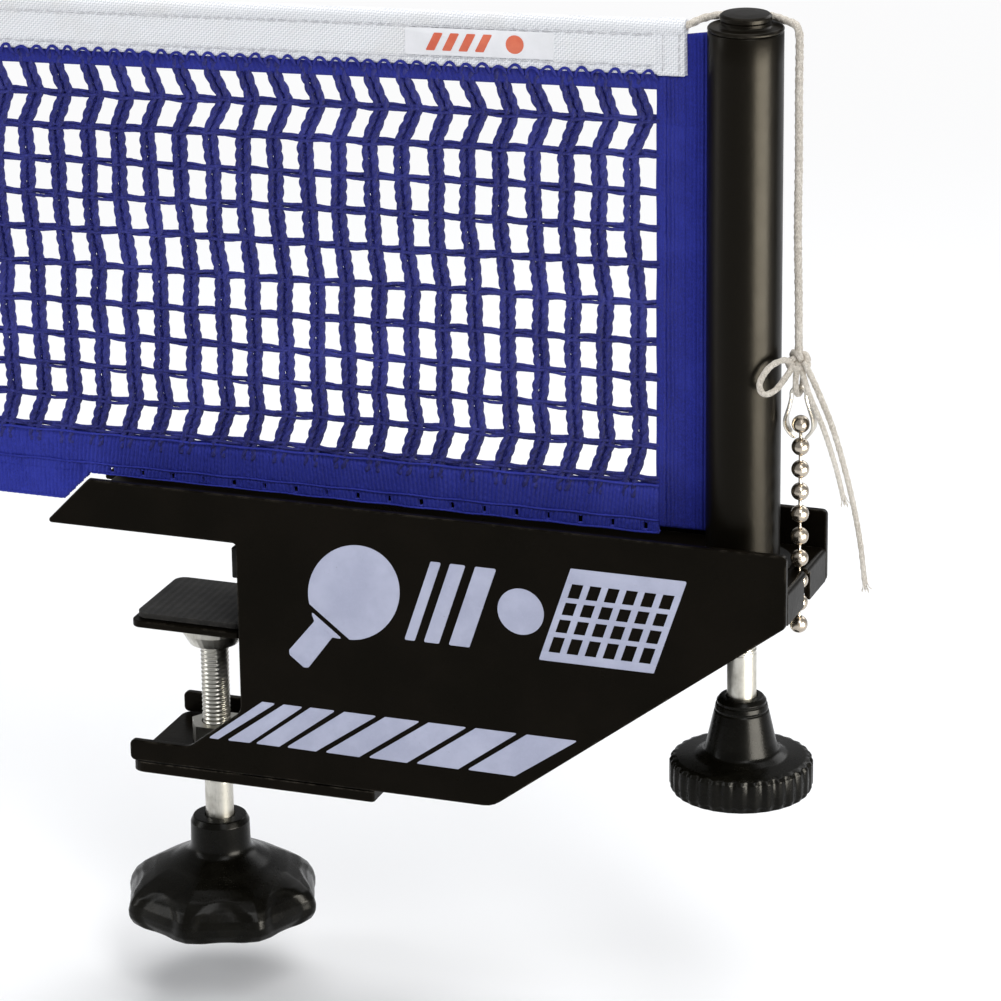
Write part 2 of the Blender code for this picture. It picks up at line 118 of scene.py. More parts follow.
def hang_down(points):
    """The slack net: its upper edge drops further away from the post, its lower edge stays."""
    points = points.copy()
    x, z = points[:, 0], points[:, 2]
    drop = NET_DROP + NET_SLOPE * (DROP_X - np.minimum(x, SLOPE_END_X))
    drop = drop * clip01((FADE_END_X - x) / FADE_LENGTH)
    points[:, 2] = z - drop * clip01((z - STILL_Z) / HANG_HEIGHT) ** HANG_POWER
    return points


# ------------------------------------------------------------------ geometry helpers
class Solid:
    """Gathers vertices and faces, then turns them into one object."""

    def __init__(self):
        self.verts, self.faces, self.count = [], [], 0

    def add(self, verts, faces):
        verts = np.asarray(verts, float).reshape(-1, 3)
        self.verts.append(verts)
        for block in faces:
            if isinstance(block, np.ndarray):
                self.faces.extend((block + self.count).tolist())
            else:
                self.faces.append([i + self.count for i in block])
        self.count += len(verts)
        return self

    def piece(self, name, body, mat, slot, nodes=(), sharp=42.0, hang=False):
        mesh = bpy.data.meshes.new(name)
        points = np.concatenate(self.verts)
        if hang:
            points = hang_down(points)
        mesh.from_pydata((points * 0.001).tolist(), [], self.faces)
        mesh.validate()
        mesh.update()
        mesh.polygons.foreach_set("use_smooth", np.ones(len(mesh.polygons), bool))
        mesh.set_sharp_from_angle(angle=math.radians(sharp))
        made = bpy.data.objects.new(name, mesh)
        bpy.context.scene.collection.objects.link(made)
        mesh.materials.append(mat)
        if body:
            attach(made, body)
        if nodes:
            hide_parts(*nodes)
        return made


def sweep_faces(rows, count, closed=False, caps=True):
    """Faces over rows of points. Rows run along the sweep, points run round it."""
    row = np.arange(rows if closed else rows - 1)
    row, point = np.meshgrid(row, np.arange(count), indexing="ij")
    here, after = row * count, (row + 1) % rows * count
    beside = (point + 1) % count
    quads = np.stack([here + point, here + beside, after + beside, after + point], -1)
    faces = [quads.reshape(-1, 4)]
    if caps and not closed:
        faces.append(list(range(count - 1, -1, -1)))
        faces.append(list(range((rows - 1) * count, rows * count)))
    return faces


def tube(line, radius, sides, ref=None, closed=False, flat=1.0, swell=None):
    """A rope along line, with domed ends. swell(length, angle) scales its radius."""
    line = np.asarray(line, float)
    count = len(line)
    radius = np.broadcast_to(np.asarray(radius, float), (count,)).copy()
    if closed:
        along = unit(np.roll(line, -1, 0) - np.roll(line, 1, 0))
    else:
        along = unit(np.gradient(line, axis=0))
    if ref is not None:
        ref = np.asarray(ref, float)
        side = unit(ref[None] - (along @ ref)[:, None] * along)
    else:
        # Carry the first side vector along the line; a closed line shares out the twist left.
        side = np.zeros_like(line)
        start = np.eye(3)[np.argmin(np.abs(along[0]))]
        side[0] = unit(start - along[0] * (start @ along[0]))
        for k in range(1, count):
            side[k] = unit(side[k - 1] - along[k] * (side[k - 1] @ along[k]))
        if closed:
            last = unit(side[-1] - along[0] * (side[-1] @ along[0]))
            gap = math.atan2(np.cross(last, side[0]) @ along[0], last @ side[0])
            twist = (np.arange(count) / count * gap)[:, None]
            side = side * np.cos(twist) + np.cross(along, side) * np.sin(twist)
    other = np.cross(along, side)
    steps = np.linalg.norm(np.diff(line, axis=0), axis=1)
    length = np.concatenate([[0], np.cumsum(steps)])
    if not closed:
        dome = np.radians([72, 48, 22])
        rise = np.sin(dome)[:, None]
        line = np.concatenate([line[0] - along[0] * radius[0] * rise, line,
                               line[-1] + along[-1] * radius[-1] * rise[::-1]])
        side, other, length = (np.concatenate([v[:1]] * 3 + [v] + [v[-1:]] * 3)
                               for v in (side, other, length))
        radius = np.concatenate([radius[0] * np.cos(dome), radius,
                                 radius[-1] * np.cos(dome[::-1])])
    angle = turn(sides)
    reach = radius[:, None] * np.ones(sides)[None]
    if swell is not None:
        reach = reach * swell(length[:, None], angle[None])
    verts = (line[:, None] + (reach * np.cos(angle))[..., None] * side[:, None]
             + (reach * flat * np.sin(angle))[..., None] * other[:, None])
    return verts.reshape(-1, 3), sweep_faces(len(line), sides, closed=closed)


def catmull(points, step, closed=False):
    """A smooth curve through points, cut into lengths of about step."""
    points = np.asarray(points, float)
    if closed:
        ctrl = np.concatenate([points[-1:], points, points[:2]])
    else:
        ctrl = np.concatenate([2 * points[:1] - points[1:2], points,
                               2 * points[-1:] - points[-2:-1]])
    out = []
    for i in range(len(ctrl) - 3):
        a, b, c, d = ctrl[i:i + 4]
        cuts = max(2, int(np.linalg.norm(c - b) / step))
        t = np.linspace(0, 1, cuts, endpoint=False)[:, None]
        out.append(0.5 * (2 * b + (c - a) * t + (2 * a - 5 * b + 4 * c - d) * t ** 2
                          + (3 * b - a - 3 * c + d) * t ** 3))
    if not closed:
        out.append(points[-1:])
    return np.concatenate(out)


def fillet(points, radii, closed=False, seg=6):
    """Rounds the corners of a polyline in a plane."""
    points = [np.asarray(q, float) for q in points]
    count = len(points)
    if np.isscalar(radii):
        radii = [radii] * count
    out = []
    for i, corner in enumerate(points):
        if not closed and i in (0, count - 1):
            out.append(corner)
            continue
        back, ahead = points[i - 1] - corner, points[(i + 1) % count] - corner
        back_len, ahead_len = np.linalg.norm(back), np.linalg.norm(ahead)
        back, ahead = back / max(back_len, 1e-9), ahead / max(ahead_len, 1e-9)
        angle = math.acos(max(-1, min(1, float(back @ ahead))))
        if radii[i] <= 0 or angle > PI - 0.02 or angle < 0.02:
            out.append(corner)
            continue
        cut = min(radii[i] / math.tan(angle / 2), back_len * 0.48, ahead_len * 0.48)
        start, end = corner + back * cut, corner + ahead * cut
        for k in range(seg + 1):
            t = k / seg
            out.append((1 - t) ** 2 * start + 2 * t * (1 - t) * corner + t ** 2 * end)
    return np.array(out)


def rounded_profile(table, seg=6):
    """Turns rows of radius, height, corner rounding into a lathe profile."""
    table = np.array(table, float)
    return fillet(table[:, :2], table[:, 2], seg=seg)


def lathe(profile, centre_x, segs, mod=None):
    """profile: rows of radius, height, beginning and ending on the axis.
    mod(radius, z, angle) changes the radius."""
    profile = np.asarray(profile, float)
    body = profile[1:-1]
    angle = turn(segs)
    radius = body[:, 0][:, None] * np.ones(segs)[None]
    z = body[:, 1][:, None] * np.ones(segs)[None]
    if mod is not None:
        radius = mod(radius, z, angle[None])
    verts = path(centre_x + radius * np.cos(angle), radius * np.sin(angle), z).reshape(-1, 3)
    faces = sweep_faces(len(body), segs, caps=False)
    low, high = len(verts), len(verts) + 1
    verts = np.concatenate([verts, path(centre_x, 0.0, profile[[0, -1], 1])])
    j = np.arange(segs)
    k = (j + 1) % segs
    last = (len(body) - 1) * segs
    faces.append(np.stack([k, j, np.full(segs, low)], -1))
    faces.append(np.stack([last + j, last + k, np.full(segs, high)], -1))
    return verts, faces


def poly_inside(x, z, poly):
    inside = np.zeros(x.shape, bool)
    for (x1, z1), (x2, z2) in zip(poly, poly[1:] + poly[:1]):
        if z1 != z2:
            inside ^= ((z1 > z) != (z2 > z)) & (x < (x2 - x1) * (z - z1) / (z2 - z1) + x1)
    return inside


def rounded_edge(x, z, poly, width, least):
    """Scale of thickness: 1 inside the outline, rounding off to its edge over width."""
    distance = np.full(x.shape, 1e9)
    for start, end in zip(poly, poly[1:] + poly[:1]):
        start = np.array(start, float)
        edge = np.array(end, float) - start
        t = clip01(((x - start[0]) * edge[0] + (z - start[1]) * edge[1]) / (edge @ edge))
        gap = np.hypot(x - start[0] - t * edge[0], z - start[1] - t * edge[1])
        distance = np.minimum(distance, gap)
    return np.sqrt(np.clip(1 - (1 - clip01(distance / width)) ** 2, least, 1))


def cell_centres(grid):
    return (grid[:-1, :-1] + grid[1:, 1:]) / 2


def slab(x, z, cells, y_front, y_back):
    """A closed sheet over the marked cells of a grid, with its own front and back surfaces."""
    used = np.zeros(x.shape, bool)
    used[:-1, :-1] |= cells
    used[1:, :-1] |= cells
    used[1:, 1:] |= cells
    used[:-1, 1:] |= cells
    index = np.full(x.shape, -1)
    count = int(used.sum())
    index[used] = np.arange(count)
    verts = np.concatenate([path(x[used], y[used], z[used]) for y in (y_front, y_back)])
    p00, p10, p11, p01 = index[:-1, :-1], index[1:, :-1], index[1:, 1:], index[:-1, 1:]
    front = np.stack([p00[cells], p10[cells], p11[cells], p01[cells]], -1)
    faces = [front, front[:, ::-1] + count]
    padded = np.pad(cells, 1)
    for neighbour, start, end in (
        (padded[1:-1, :-2], p00, p10),
        (padded[2:, 1:-1], p10, p11),
        (padded[1:-1, 2:], p11, p01),
        (padded[:-2, 1:-1], p01, p00),
    ):
        rim = cells & ~neighbour
        a, b = start[rim], end[rim]
        faces.append(np.stack([b, a, a + count, b + count], -1))
    return verts, faces


def plate(outline, y_front, y_back, bevel):
    """A flat piece with its outline in x and z, bevelled round its front face."""
    outline = np.asarray(outline, float)
    x, z = outline.T
    if np.sum(x * np.roll(z, -1) - np.roll(x, -1) * z) < 0:
        outline = outline[::-1]
    edge = unit(np.roll(outline, -1, 0) - outline)
    normal = np.stack([edge[:, 1], -edge[:, 0]], -1)
    normal = unit(normal + np.roll(normal, 1, 0))
    rows = ((outline - normal * bevel, y_front), (outline, y_front + bevel * 0.6),
            (outline, y_back))
    verts = np.concatenate([path(p[:, 0], y, p[:, 1]) for p, y in rows])
    faces = sweep_faces(len(rows), len(outline))
    return verts, [f[:, ::-1] if isinstance(f, np.ndarray) else f[::-1] for f in faces]


def disc(x, z, radius, count):
    angle = turn(count)
    return np.stack([x + radius * np.cos(angle), z + radius * np.sin(angle)], -1)


# ------------------------------------------------------------------ materials
def srgb(*channels):
    values = [c / 255.0 for c in channels]
    return (*(c / 12.92 if c <= 0.04045 else ((c + 0.055) / 1.055) ** 2.4 for c in values), 1.0)


class Mat:
    """A Principled material with patterns measured in millimetres."""

    def __init__(self, name):
        self.material = bpy.data.materials.new(name)
        self.material.use_nodes = True
        self.tree = self.material.node_tree
        self.shader = self.tree.nodes["Principled BSDF"]
        self.normal = None
        coords = self.node("ShaderNodeTexCoord")
        self.mm = self.stretch((1000.0,) * 3, source=coords.outputs["Object"])

    def node(self, kind, inputs=None, **props):
        made = self.tree.nodes.new(kind)
        for key, value in props.items():
            setattr(made, key, value)
        for key, value in (inputs or {}).items():
            self.wire(made, key, value)
        return made

    def wire(self, node, key, value):
        if hasattr(value, "is_output"):
            self.tree.links.new(value, node.inputs[key])
        else:
            node.inputs[key].default_value = value

    def put(self, **inputs):
        for key, value in inputs.items():
            self.wire(self.shader, key.replace("_", " "), value)

    def stretch(self, scale, turn=(0, 0, 0), source=None):
        return self.node("ShaderNodeMapping", {
            "Scale": scale, "Rotation": turn, "Vector": source or self.mm}).outputs[0]

    def noise(self, scale, detail=3.0, rough=0.55, vec=None, distort=0.0):
        return self.node("ShaderNodeTexNoise", {
            "Vector": vec or self.mm, "Scale": scale, "Detail": detail,
            "Roughness": rough, "Distortion": distort}).outputs[0]

    def voronoi(self, scale):
        made = self.node("ShaderNodeTexVoronoi", {"Vector": self.mm, "Scale": scale})
        return made.outputs["Distance"]

    def math(self, operation, *values):
        return self.node("ShaderNodeMath", dict(enumerate(values)),
                         operation=operation).outputs[0]

    def times(self, a, b):
        return self.math("MULTIPLY", a, b)

    def linear(self, value, gain, offset):
        return self.math("MULTIPLY_ADD", value, gain, offset)

    def axis(self, which):
        return self.node("ShaderNodeSeparateXYZ", {0: self.mm}).outputs["XYZ".index(which)]

    def sine(self, coord, pitch):
        """0 to 1, one period every pitch millimetres."""
        wave = self.math("SINE", self.linear(coord, gain=2 * PI / pitch, offset=0.0))
        return self.linear(wave, gain=0.5, offset=0.5)

    def ramp(self, value, low, high):
        """A smooth rise from 0 at low to 1 at high."""
        return self.node("ShaderNodeMapRange", {0: value, 1: low, 2: high},
                         interpolation_type="SMOOTHSTEP").outputs[0]

    def mix(self, mask, under, over, amount=None):
        if amount is not None:
            mask = self.times(mask, amount)
        return self.node("ShaderNodeMix", {0: mask, 6: under, 7: over},
                         data_type="RGBA").outputs[2]

    def bump(self, height, dist, strength=1.0):
        inputs = {"Strength": strength, "Distance": dist * 0.001, "Height": height}
        if self.normal is not None:
            inputs["Normal"] = self.normal
        self.normal = self.node("ShaderNodeBump", inputs).outputs[0]
        self.put(Normal=self.normal)

    def worn_edges(self, radius, high, scale, detail, rough, patches):
        """Convex edges and tight corners, broken up by patches of noise."""
        bevel = self.node("ShaderNodeBevel", {"Radius": radius * 0.001}, samples=4)
        face = self.node("ShaderNodeNewGeometry")
        dot = self.node("ShaderNodeVectorMath",
                        {0: bevel.outputs[0], 1: face.outputs["Normal"]},
                        operation="DOT_PRODUCT")
        bend = self.math("SUBTRACT", 1.0, dot.outputs["Value"])
        edges = self.ramp(bend, low=0.01, high=high)
        return self.times(edges, self.ramp(self.noise(scale, detail, rough), *patches))


def enamel(name, base, tint, rough, spec, grain=(1, 1, 1), wear=0.55, peel=0.02):
    """Glossy black enamel: slight orange peel, dust, scratches, thin paint along edges."""
    mat = Mat(name)
    broad = mat.noise(0.045, detail=4.0, vec=mat.stretch(grain))
    fine = mat.noise(2.4)
    color = mat.mix(mat.ramp(broad, low=0.35, high=0.7), base, tint)
    dust = mat.ramp(mat.noise(6.5, detail=2.0), low=0.70, high=0.80)
    color = mat.mix(dust, color, srgb(62, 58, 52), amount=0.35)
    worn = mat.worn_edges(radius=0.8, high=0.16, scale=0.32, detail=5.0, rough=0.65,
                          patches=(0.42, 0.66))
    worn = mat.times(worn, wear)
    color = mat.mix(worn, color, srgb(98, 92, 82))
    gloss = mat.linear(mat.noise(0.12, detail=5.0, rough=0.62), gain=0.16, offset=rough - 0.08)
    gloss = mat.linear(dust, gain=0.14, offset=gloss)
    streaks = mat.noise(0.9, detail=2.0, vec=mat.stretch((0.18, 1.0, 3.2), turn=(0, 0.5, 0)))
    gloss = mat.linear(mat.ramp(streaks, low=0.66, high=0.72), gain=0.10, offset=gloss)
    mat.put(Base_Color=color, Roughness=gloss, Specular_IOR_Level=spec,
            Specular_Tint=(1.0, 0.93, 0.80, 1.0), Coat_Roughness=0.16,
            Metallic=mat.times(worn, 0.6))
    mat.bump(fine, dist=peel)
    mat.bump(mat.noise(0.55, detail=2.0), dist=peel * 2.2)
    return mat.material


def plastic(name, base, rough, spec, grain=0.010):
    """Moulded black plastic with a satin gloss, faint flow marks and rubbed high points."""
    mat = Mat(name)
    flow = mat.noise(0.10, detail=4.0, rough=0.6, distort=1.2)
    lighter = tuple(min(1, c * 1.7 + 0.002) for c in base[:3]) + (1,)
    color = mat.mix(mat.ramp(flow, low=0.3, high=0.75), base, lighter)
    worn = mat.worn_edges(radius=0.7, high=0.22, scale=0.5, detail=4.0, rough=0.6,
                          patches=(0.35, 0.62))
    color = mat.mix(worn, color, srgb(84, 82, 74), amount=0.35)
    specks = mat.ramp(mat.noise(5.0, detail=2.0), low=0.70, high=0.78)
    color = mat.mix(specks, color, srgb(92, 88, 80), amount=0.3)
    gloss = mat.noise(0.25, detail=5.0, rough=0.6)
    mat.put(Base_Color=color, Specular_IOR_Level=spec,
            Roughness=mat.linear(gloss, gain=0.18, offset=rough - 0.09))
    mat.bump(mat.voronoi(2.6), dist=grain)
    mat.bump(mat.noise(0.8), dist=grain * 1.4)
    return mat.material


def rubber(name):
    """Dark moulded rubber, matt, with a fine grain and chalky rubbed edges."""
    mat = Mat(name)
    cloud = mat.ramp(mat.noise(0.22, detail=5.0, rough=0.6), low=0.35, high=0.7)
    color = mat.mix(cloud, srgb(20, 19, 18), srgb(38, 36, 34))
    worn = mat.worn_edges(radius=0.9, high=0.2, scale=0.6, detail=4.0, rough=0.55,
                          patches=(0.4, 0.65))
    mat.put(Base_Color=mat.mix(worn, color, srgb(78, 75, 70), amount=0.5),
            Roughness=mat.linear(mat.noise(0.5, detail=4.0), gain=0.14, offset=0.72),
            Specular_IOR_Level=0.25, Sheen_Weight=0.08)
    mat.bump(mat.noise(5.5), dist=0.05)
    mat.bump(mat.sine(mat.axis("X"), pitch=2.2), dist=0.10, strength=0.7)
    return mat.material


def metal(name, base, dark, rough, brushed=(1, 1, 1), tarnish=0.4):
    """Plated steel with fine drawing lines, tarnish in patches and small dull specks."""
    mat = Mat(name)
    patch = mat.ramp(mat.noise(0.16, detail=5.0, rough=0.62), low=0.42, high=0.72)
    lines = mat.noise(3.4, detail=2.0, vec=mat.stretch(brushed))
    color = mat.mix(patch, base, dark, amount=tarnish)
    color = mat.mix(mat.ramp(lines, low=0.5, high=0.75), color, dark, amount=0.25)
    color = mat.mix(mat.ramp(mat.noise(2.2), low=0.68, high=0.76), color, dark, amount=0.5)
    gloss = mat.linear(patch, gain=0.16, offset=rough)
    mat.put(Base_Color=color, Metallic=1.0,
            Roughness=mat.linear(lines, gain=0.10, offset=gloss))
    mat.bump(lines, dist=0.012)
    return mat.material


def yarn(name, base, light, dark, fibre, fuzz=0.05, sheen=0.35, rough=0.78, broad=0.05,
         mottle=0.55):
    """Twisted yarn: fibres along it, colour that varies by place, and a soft sheen."""
    mat = Mat(name)
    fibres = mat.noise(3.2, detail=4.0, rough=0.65, vec=mat.stretch(fibre))
    tufts = mat.noise(0.9, rough=0.6)
    cloud = mat.noise(broad)
    color = mat.mix(mat.ramp(fibres, low=0.35, high=0.68), dark, base)
    color = mat.mix(mat.ramp(tufts, low=0.48, high=0.74), color, light, amount=mottle)
    color = mat.mix(mat.ramp(cloud, low=0.45, high=0.7), color, light, amount=0.35)
    mat.put(Base_Color=color, Roughness=mat.linear(fibres, gain=0.15, offset=rough - 0.07),
            Specular_IOR_Level=0.22, Sheen_Weight=sheen, Sheen_Roughness=0.42,
            Sheen_Tint=light)
    mat.bump(fibres, dist=fuzz)
    mat.bump(tufts, dist=fuzz * 0.8)
    return mat.material


def woven_tape(name):
    """Close plain weave of white cotton, soiled in patches."""
    mat = Mat(name)
    thread = 0.62
    x, z = mat.axis("X"), mat.axis("Z")
    wobble = mat.noise(0.35, detail=2.0)
    x = mat.linear(wobble, gain=0.5, offset=x)
    z = mat.linear(wobble, gain=0.4, offset=z)
    warp, weft = mat.sine(x, thread), mat.sine(z, thread)
    slow_x, slow_z = mat.sine(x, 2 * thread), mat.sine(z, 2 * thread)
    checker = mat.times(mat.math("SUBTRACT", slow_x, 0.5), mat.math("SUBTRACT", slow_z, 0.5))
    over = mat.math("GREATER_THAN", checker, 0.0)
    weave = mat.math("ADD", mat.times(over, warp),
                     mat.times(mat.math("SUBTRACT", 1.0, over), weft))
    soil = mat.ramp(mat.noise(0.05, detail=5.0, rough=0.6), low=0.45, high=0.78)
    # Painted shade: the hollows between the threads are coloured darker than the thread crowns.
    color = mat.mix(mat.ramp(weave, low=0.0, high=0.75), srgb(206, 209, 214),
                    srgb(243, 244, 247))
    color = mat.mix(soil, color, srgb(205, 200, 190), amount=0.30)
    slubs = mat.noise(0.9, detail=2.0, vec=mat.stretch((0.16, 1, 2.6)))
    color = mat.mix(mat.ramp(slubs, low=0.62, high=0.72), color, srgb(238, 239, 242),
                    amount=0.3)
    mat.put(Base_Color=color, Roughness=mat.linear(weave, gain=-0.12, offset=0.86),
            Specular_IOR_Level=0.2, Sheen_Weight=0.3, Sheen_Roughness=0.45)
    mat.bump(weave, dist=0.10, strength=0.9)
    mat.bump(mat.noise(4.0), dist=0.03)
    return mat.material


def printed(name, base, light, bare):
    """Printed ink: an even film with pinholes and light rubbing."""
    mat = Mat(name)
    cloud = mat.ramp(mat.noise(0.08, detail=4.0, rough=0.6), low=0.35, high=0.7)
    color = mat.mix(cloud, base, light)
    color = mat.mix(mat.ramp(mat.noise(1.6), low=0.45, high=0.75), color, light, amount=0.25)
    pinholes = mat.ramp(mat.noise(3.4, detail=2.0), low=0.73, high=0.78)
    streaks = mat.noise(0.7, detail=4.0, rough=0.7,
                        vec=mat.stretch((0.3, 1, 1.6), turn=(0, 0.5, 0)))
    gone = mat.math("MAXIMUM", pinholes, mat.ramp(streaks, low=0.71, high=0.76))
    mat.put(Base_Color=mat.mix(gone, color, bare, amount=0.75),
            Roughness=mat.linear(mat.noise(0.6, detail=4.0), gain=0.2, offset=0.38),
            Specular_IOR_Level=0.35)
    mat.bump(mat.noise(3.0), dist=0.02)
    return mat.material


M_PLATE = enamel("enamel_plate", base=srgb(9, 7, 4), tint=srgb(14, 11, 7), rough=0.30,
                 spec=0.045)
M_POST = enamel("enamel_post", base=srgb(9, 7, 4), tint=srgb(13, 10, 6), rough=0.33,
                spec=0.095, grain=(1, 1, 0.15), wear=0.5, peel=0.012)
M_KNOB = plastic("knob_black", srgb(7, 6, 3), rough=0.27, spec=0.085)
M_NYLON = plastic("nylon_black", srgb(20, 20, 20), rough=0.42, spec=0.35, grain=0.02)
M_RUBBER = rubber("rubber_black")
M_STEEL = metal("zinc_plated_steel", base=srgb(190, 188, 180), dark=srgb(104, 100, 92),
                rough=0.24, brushed=(1, 1, 0.12))
M_CLIP = metal("spring_steel", base=srgb(150, 148, 140), dark=srgb(60, 57, 52),
               rough=0.32, brushed=(0.2, 1, 1))
M_BEAD = metal("nickel_beads", base=srgb(186, 176, 162), dark=srgb(74, 64, 52),
               rough=0.17, tarnish=0.55)
M_LINK = metal("nickel_link", base=srgb(205, 200, 190), dark=srgb(110, 104, 94),
               rough=0.20, brushed=(1, 1, 0.2))
M_CORD = yarn("cord_white", base=srgb(222, 215, 204), light=srgb(240, 235, 226),
              dark=srgb(168, 160, 148), fibre=(1.4, 1.4, 0.5), fuzz=0.06, sheen=0.3,
              rough=0.74)
M_TAPE = woven_tape("tape_cotton")
M_THREAD = yarn("stitch_thread", base=srgb(222, 223, 226), light=srgb(240, 240, 242),
                dark=srgb(172, 173, 178), fibre=(0.5, 1.4, 1.4), fuzz=0.03)
M_NET = yarn("net_yarn_blue", base=srgb(42, 46, 126), light=srgb(66, 71, 158),
             dark=srgb(24, 27, 84), fibre=(1.6, 1.6, 0.35), sheen=0.45)
M_KNIT = yarn("knit_band_blue", base=srgb(34, 43, 146), light=srgb(46, 56, 160),
              dark=srgb(24, 30, 108), fibre=(1.6, 1.6, 0.5), sheen=0.16, broad=0.06,
              mottle=0.25)
# Painted light: the hem's yarn is the knit band's blue made lighter, to stand in for light that
# its ribs lose to their own shade.
M_HEM_PAINTED_LIGHT = yarn("knit_hem_blue_painted_light", base=srgb(43, 53, 164), light=srgb(58, 68, 180),
             dark=srgb(32, 40, 126), fibre=(1.6, 1.6, 0.5), sheen=0.2, broad=0.06,
             mottle=0.3)
M_INK = printed("ink_pale_blue", base=srgb(164, 168, 191), light=srgb(178, 182, 204),
                bare=srgb(66, 64, 66))
M_LABEL = printed("label_satin", base=srgb(226, 227, 230), light=srgb(236, 236, 240),
                  bare=srgb(205, 205, 210))
M_ACCENT = printed("label_accent", base=srgb(206, 92, 66), light=srgb(222, 118, 88),
                   bare=srgb(232, 196, 186))


# ------------------------------------------------------------------ carried-over parts
for finish, nodes in (
    (M_PLATE, ("front_side_plate", "rear_side_plate", "arm_web_plate", "throat_plate",
               "lower_jaw_plate", "adjust_bridge", "pressure_plate")),
    (M_RUBBER, ("under_arm_pad", "table_edge_buffer", "pressure_pad_rubber")),
    (M_NYLON, ("post_guide_bush", "guide_key")),
    (M_STEEL, ("clamp_nut", "swivel_cup", "post_nut", "thrust_collar", "net_hem_rod")),
    (M_CLIP, ("retaining_clip",)),
):
    for node in nodes:
        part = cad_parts[node]
        if not part.material_slots:
            part.data.materials.append(finish)
        for material_slot in part.material_slots:
            material_slot.material = finish


# ------------------------------------------------------------------ post and cap
POST_WALL = 1.5
SLOT_HALF = 1.6

CAP_PROFILE = [  # radius, height, corner rounding
    (0, 144, 0), (8.2, 144, 0.3), (8.2, 150.05, 0), (9.95, 150.05, 0.2), (10.0, 150.6, 0.4),
    (9.6, 151.1, 0.35), (7.1, 151.15, 0.3), (6.55, 151.5, 0.3), (6.5, 152.4, 0.3),
    (6.75, 152.8, 0.25), (6.8, 153.8, 0.35), (6.2, 154.35, 0.4), (3.2, 154.5, 1),
    (0, 154.5, 0)]


def post_tube():
    """A tube with a slot down its -x side and eased ends."""
    count = 120
    foot, top = POST_LO[2], POST_HI[2]
    rows = [(foot, 0.42), (foot + 0.12, 0.2), (foot + 0.42, 0.0)]  # height, easing
    rows += [(z, 0.0) for z in np.linspace(foot + 8, top - 8, 16)]
    rows += [(top - 0.5, 0.0), (top - 0.15, 0.2), (top, 0.48)]
    verts = []
    for z, ease in rows:
        for radius, way in ((POST_R - ease, 1), (POST_R - POST_WALL + ease * 0.6, -1)):
            reach = PI - math.asin((SLOT_HALF + ease) / radius)
            angle = np.linspace(-way * reach, way * reach, count)
            verts.append(path(POST_X + radius * np.cos(angle), radius * np.sin(angle), z))
    faces = sweep_faces(len(rows), 2 * count, caps=False)
    i = np.arange(count - 1)
    end = np.stack([i, i + 1, 2 * count - 2 - i, 2 * count - 1 - i], -1)
    faces += [end + (len(rows) - 1) * 2 * count, end[:, ::-1]]
    return Solid().add(np.concatenate(verts), faces)


post_tube().piece("post_tube_slotted", "post", M_POST, "post_enamel", ["post_tube"])
Solid().add(*lathe(rounded_profile(CAP_PROFILE), POST_X, 128)).piece(
    "post_cap_grooved", "post", M_POST, "post_enamel", ["post_cap"], sharp=34)


# ------------------------------------------------------------------ screws
SCREW_R = 4.0
THREAD_PITCH, THREAD_DEPTH = 1.25, 0.34
PLAIN_LENGTH = 33  # without thread, at the lower end
THREAD_FADE = 1.6
SCREW_CHAMFER, CHAMFER_DEPTH = 0.7, 0.9


def threaded(centre_x, low, high):
    angle = turn(48)
    z = np.arange(low + SCREW_CHAMFER, high - SCREW_CHAMFER + 1e-9, 0.155)[:, None]
    fade = clip01(np.minimum(z - low - PLAIN_LENGTH, high - z) / THREAD_FADE)
    phase = z / THREAD_PITCH - angle / (2 * PI)
    flank = np.abs((phase % 1.0) - 0.5) * 2
    radius = SCREW_R - THREAD_DEPTH * fade * clip01((flank - 0.12) / 0.76)
    core = SCREW_R - CHAMFER_DEPTH
    first, last = (path(centre_x + core * np.cos(angle), core * np.sin(angle), end)[None]
                   for end in (low, high))
    body = path(centre_x + radius * np.cos(angle), radius * np.sin(angle), z)
    verts = np.concatenate([first, body, last])
    return verts.reshape(-1, 3), sweep_faces(len(verts), len(angle))


Solid().add(*threaded(SCREW_X, SCREW_LO[2], SCREW_HI[2])).piece(
    "clamp_screw_threaded", "clamp_handle", M_STEEL, "zinc_steel", ["clamp_screw"], sharp=60)
Solid().add(*threaded(ADJ_X, ADJ_LO[2], ADJ_HI[2])).piece(
    "height_screw_threaded", "height_adjuster", M_STEEL, "zinc_steel", ["adjust_screw"],
    sharp=60)


# ------------------------------------------------------------------ knobs
BIG_KNOB = [  # radius, height, corner rounding
    (0, -118.2, 0), (9, -118.3, 3), (17, -119.2, 3), (24.8, -119.6, 2.4),
    (27.9, -118.6, 2.4), (29.3, -116.4, 2.4), (29.5, -114.4, 2.0), (28.9, -112.2, 3.0),
    (27.4, -109.8, 4), (24.6, -107.4, 8), (20.0, -105.0, 10), (14.4, -103.0, 9),
    (8.55, -99.8, 3.6), (8.35, -91.4, 0.7), (7.5, -89.7, 0.5), (4.3, -89.6, 0.3),
    (4.3, -112.4, 0.3), (0, -112.4, 0)]

SMALL_KNOB = [  # radius, height, corner rounding
    (0, -61.2, 0), (9, -61.3, 2), (17.4, -61.4, 0.8), (18.9, -60.8, 0.9), (19.5, -59.4, 1),
    (19.5, -56.2, 0), (19.5, -52.8, 0.7), (18.9, -51.9, 0.7), (17.4, -51.5, 0.9),
    (12.6, -50.9, 2.4), (10.2, -49.6, 2.0), (9.4, -47.0, 2.4), (8.6, -43.4, 2),
    (7.45, -38.3, 0.3), (7.1, -37.9, 0.15), (7.25, -37.3, 0.3), (7.0, -36.2, 0.25),
    (6.7, -35.9, 0.12), (6.75, -35.2, 0.25), (5.9, -34.1, 0.4), (4.3, -34, 0.3),
    (4.3, -55.4, 0.3), (0, -55.4, 0)]


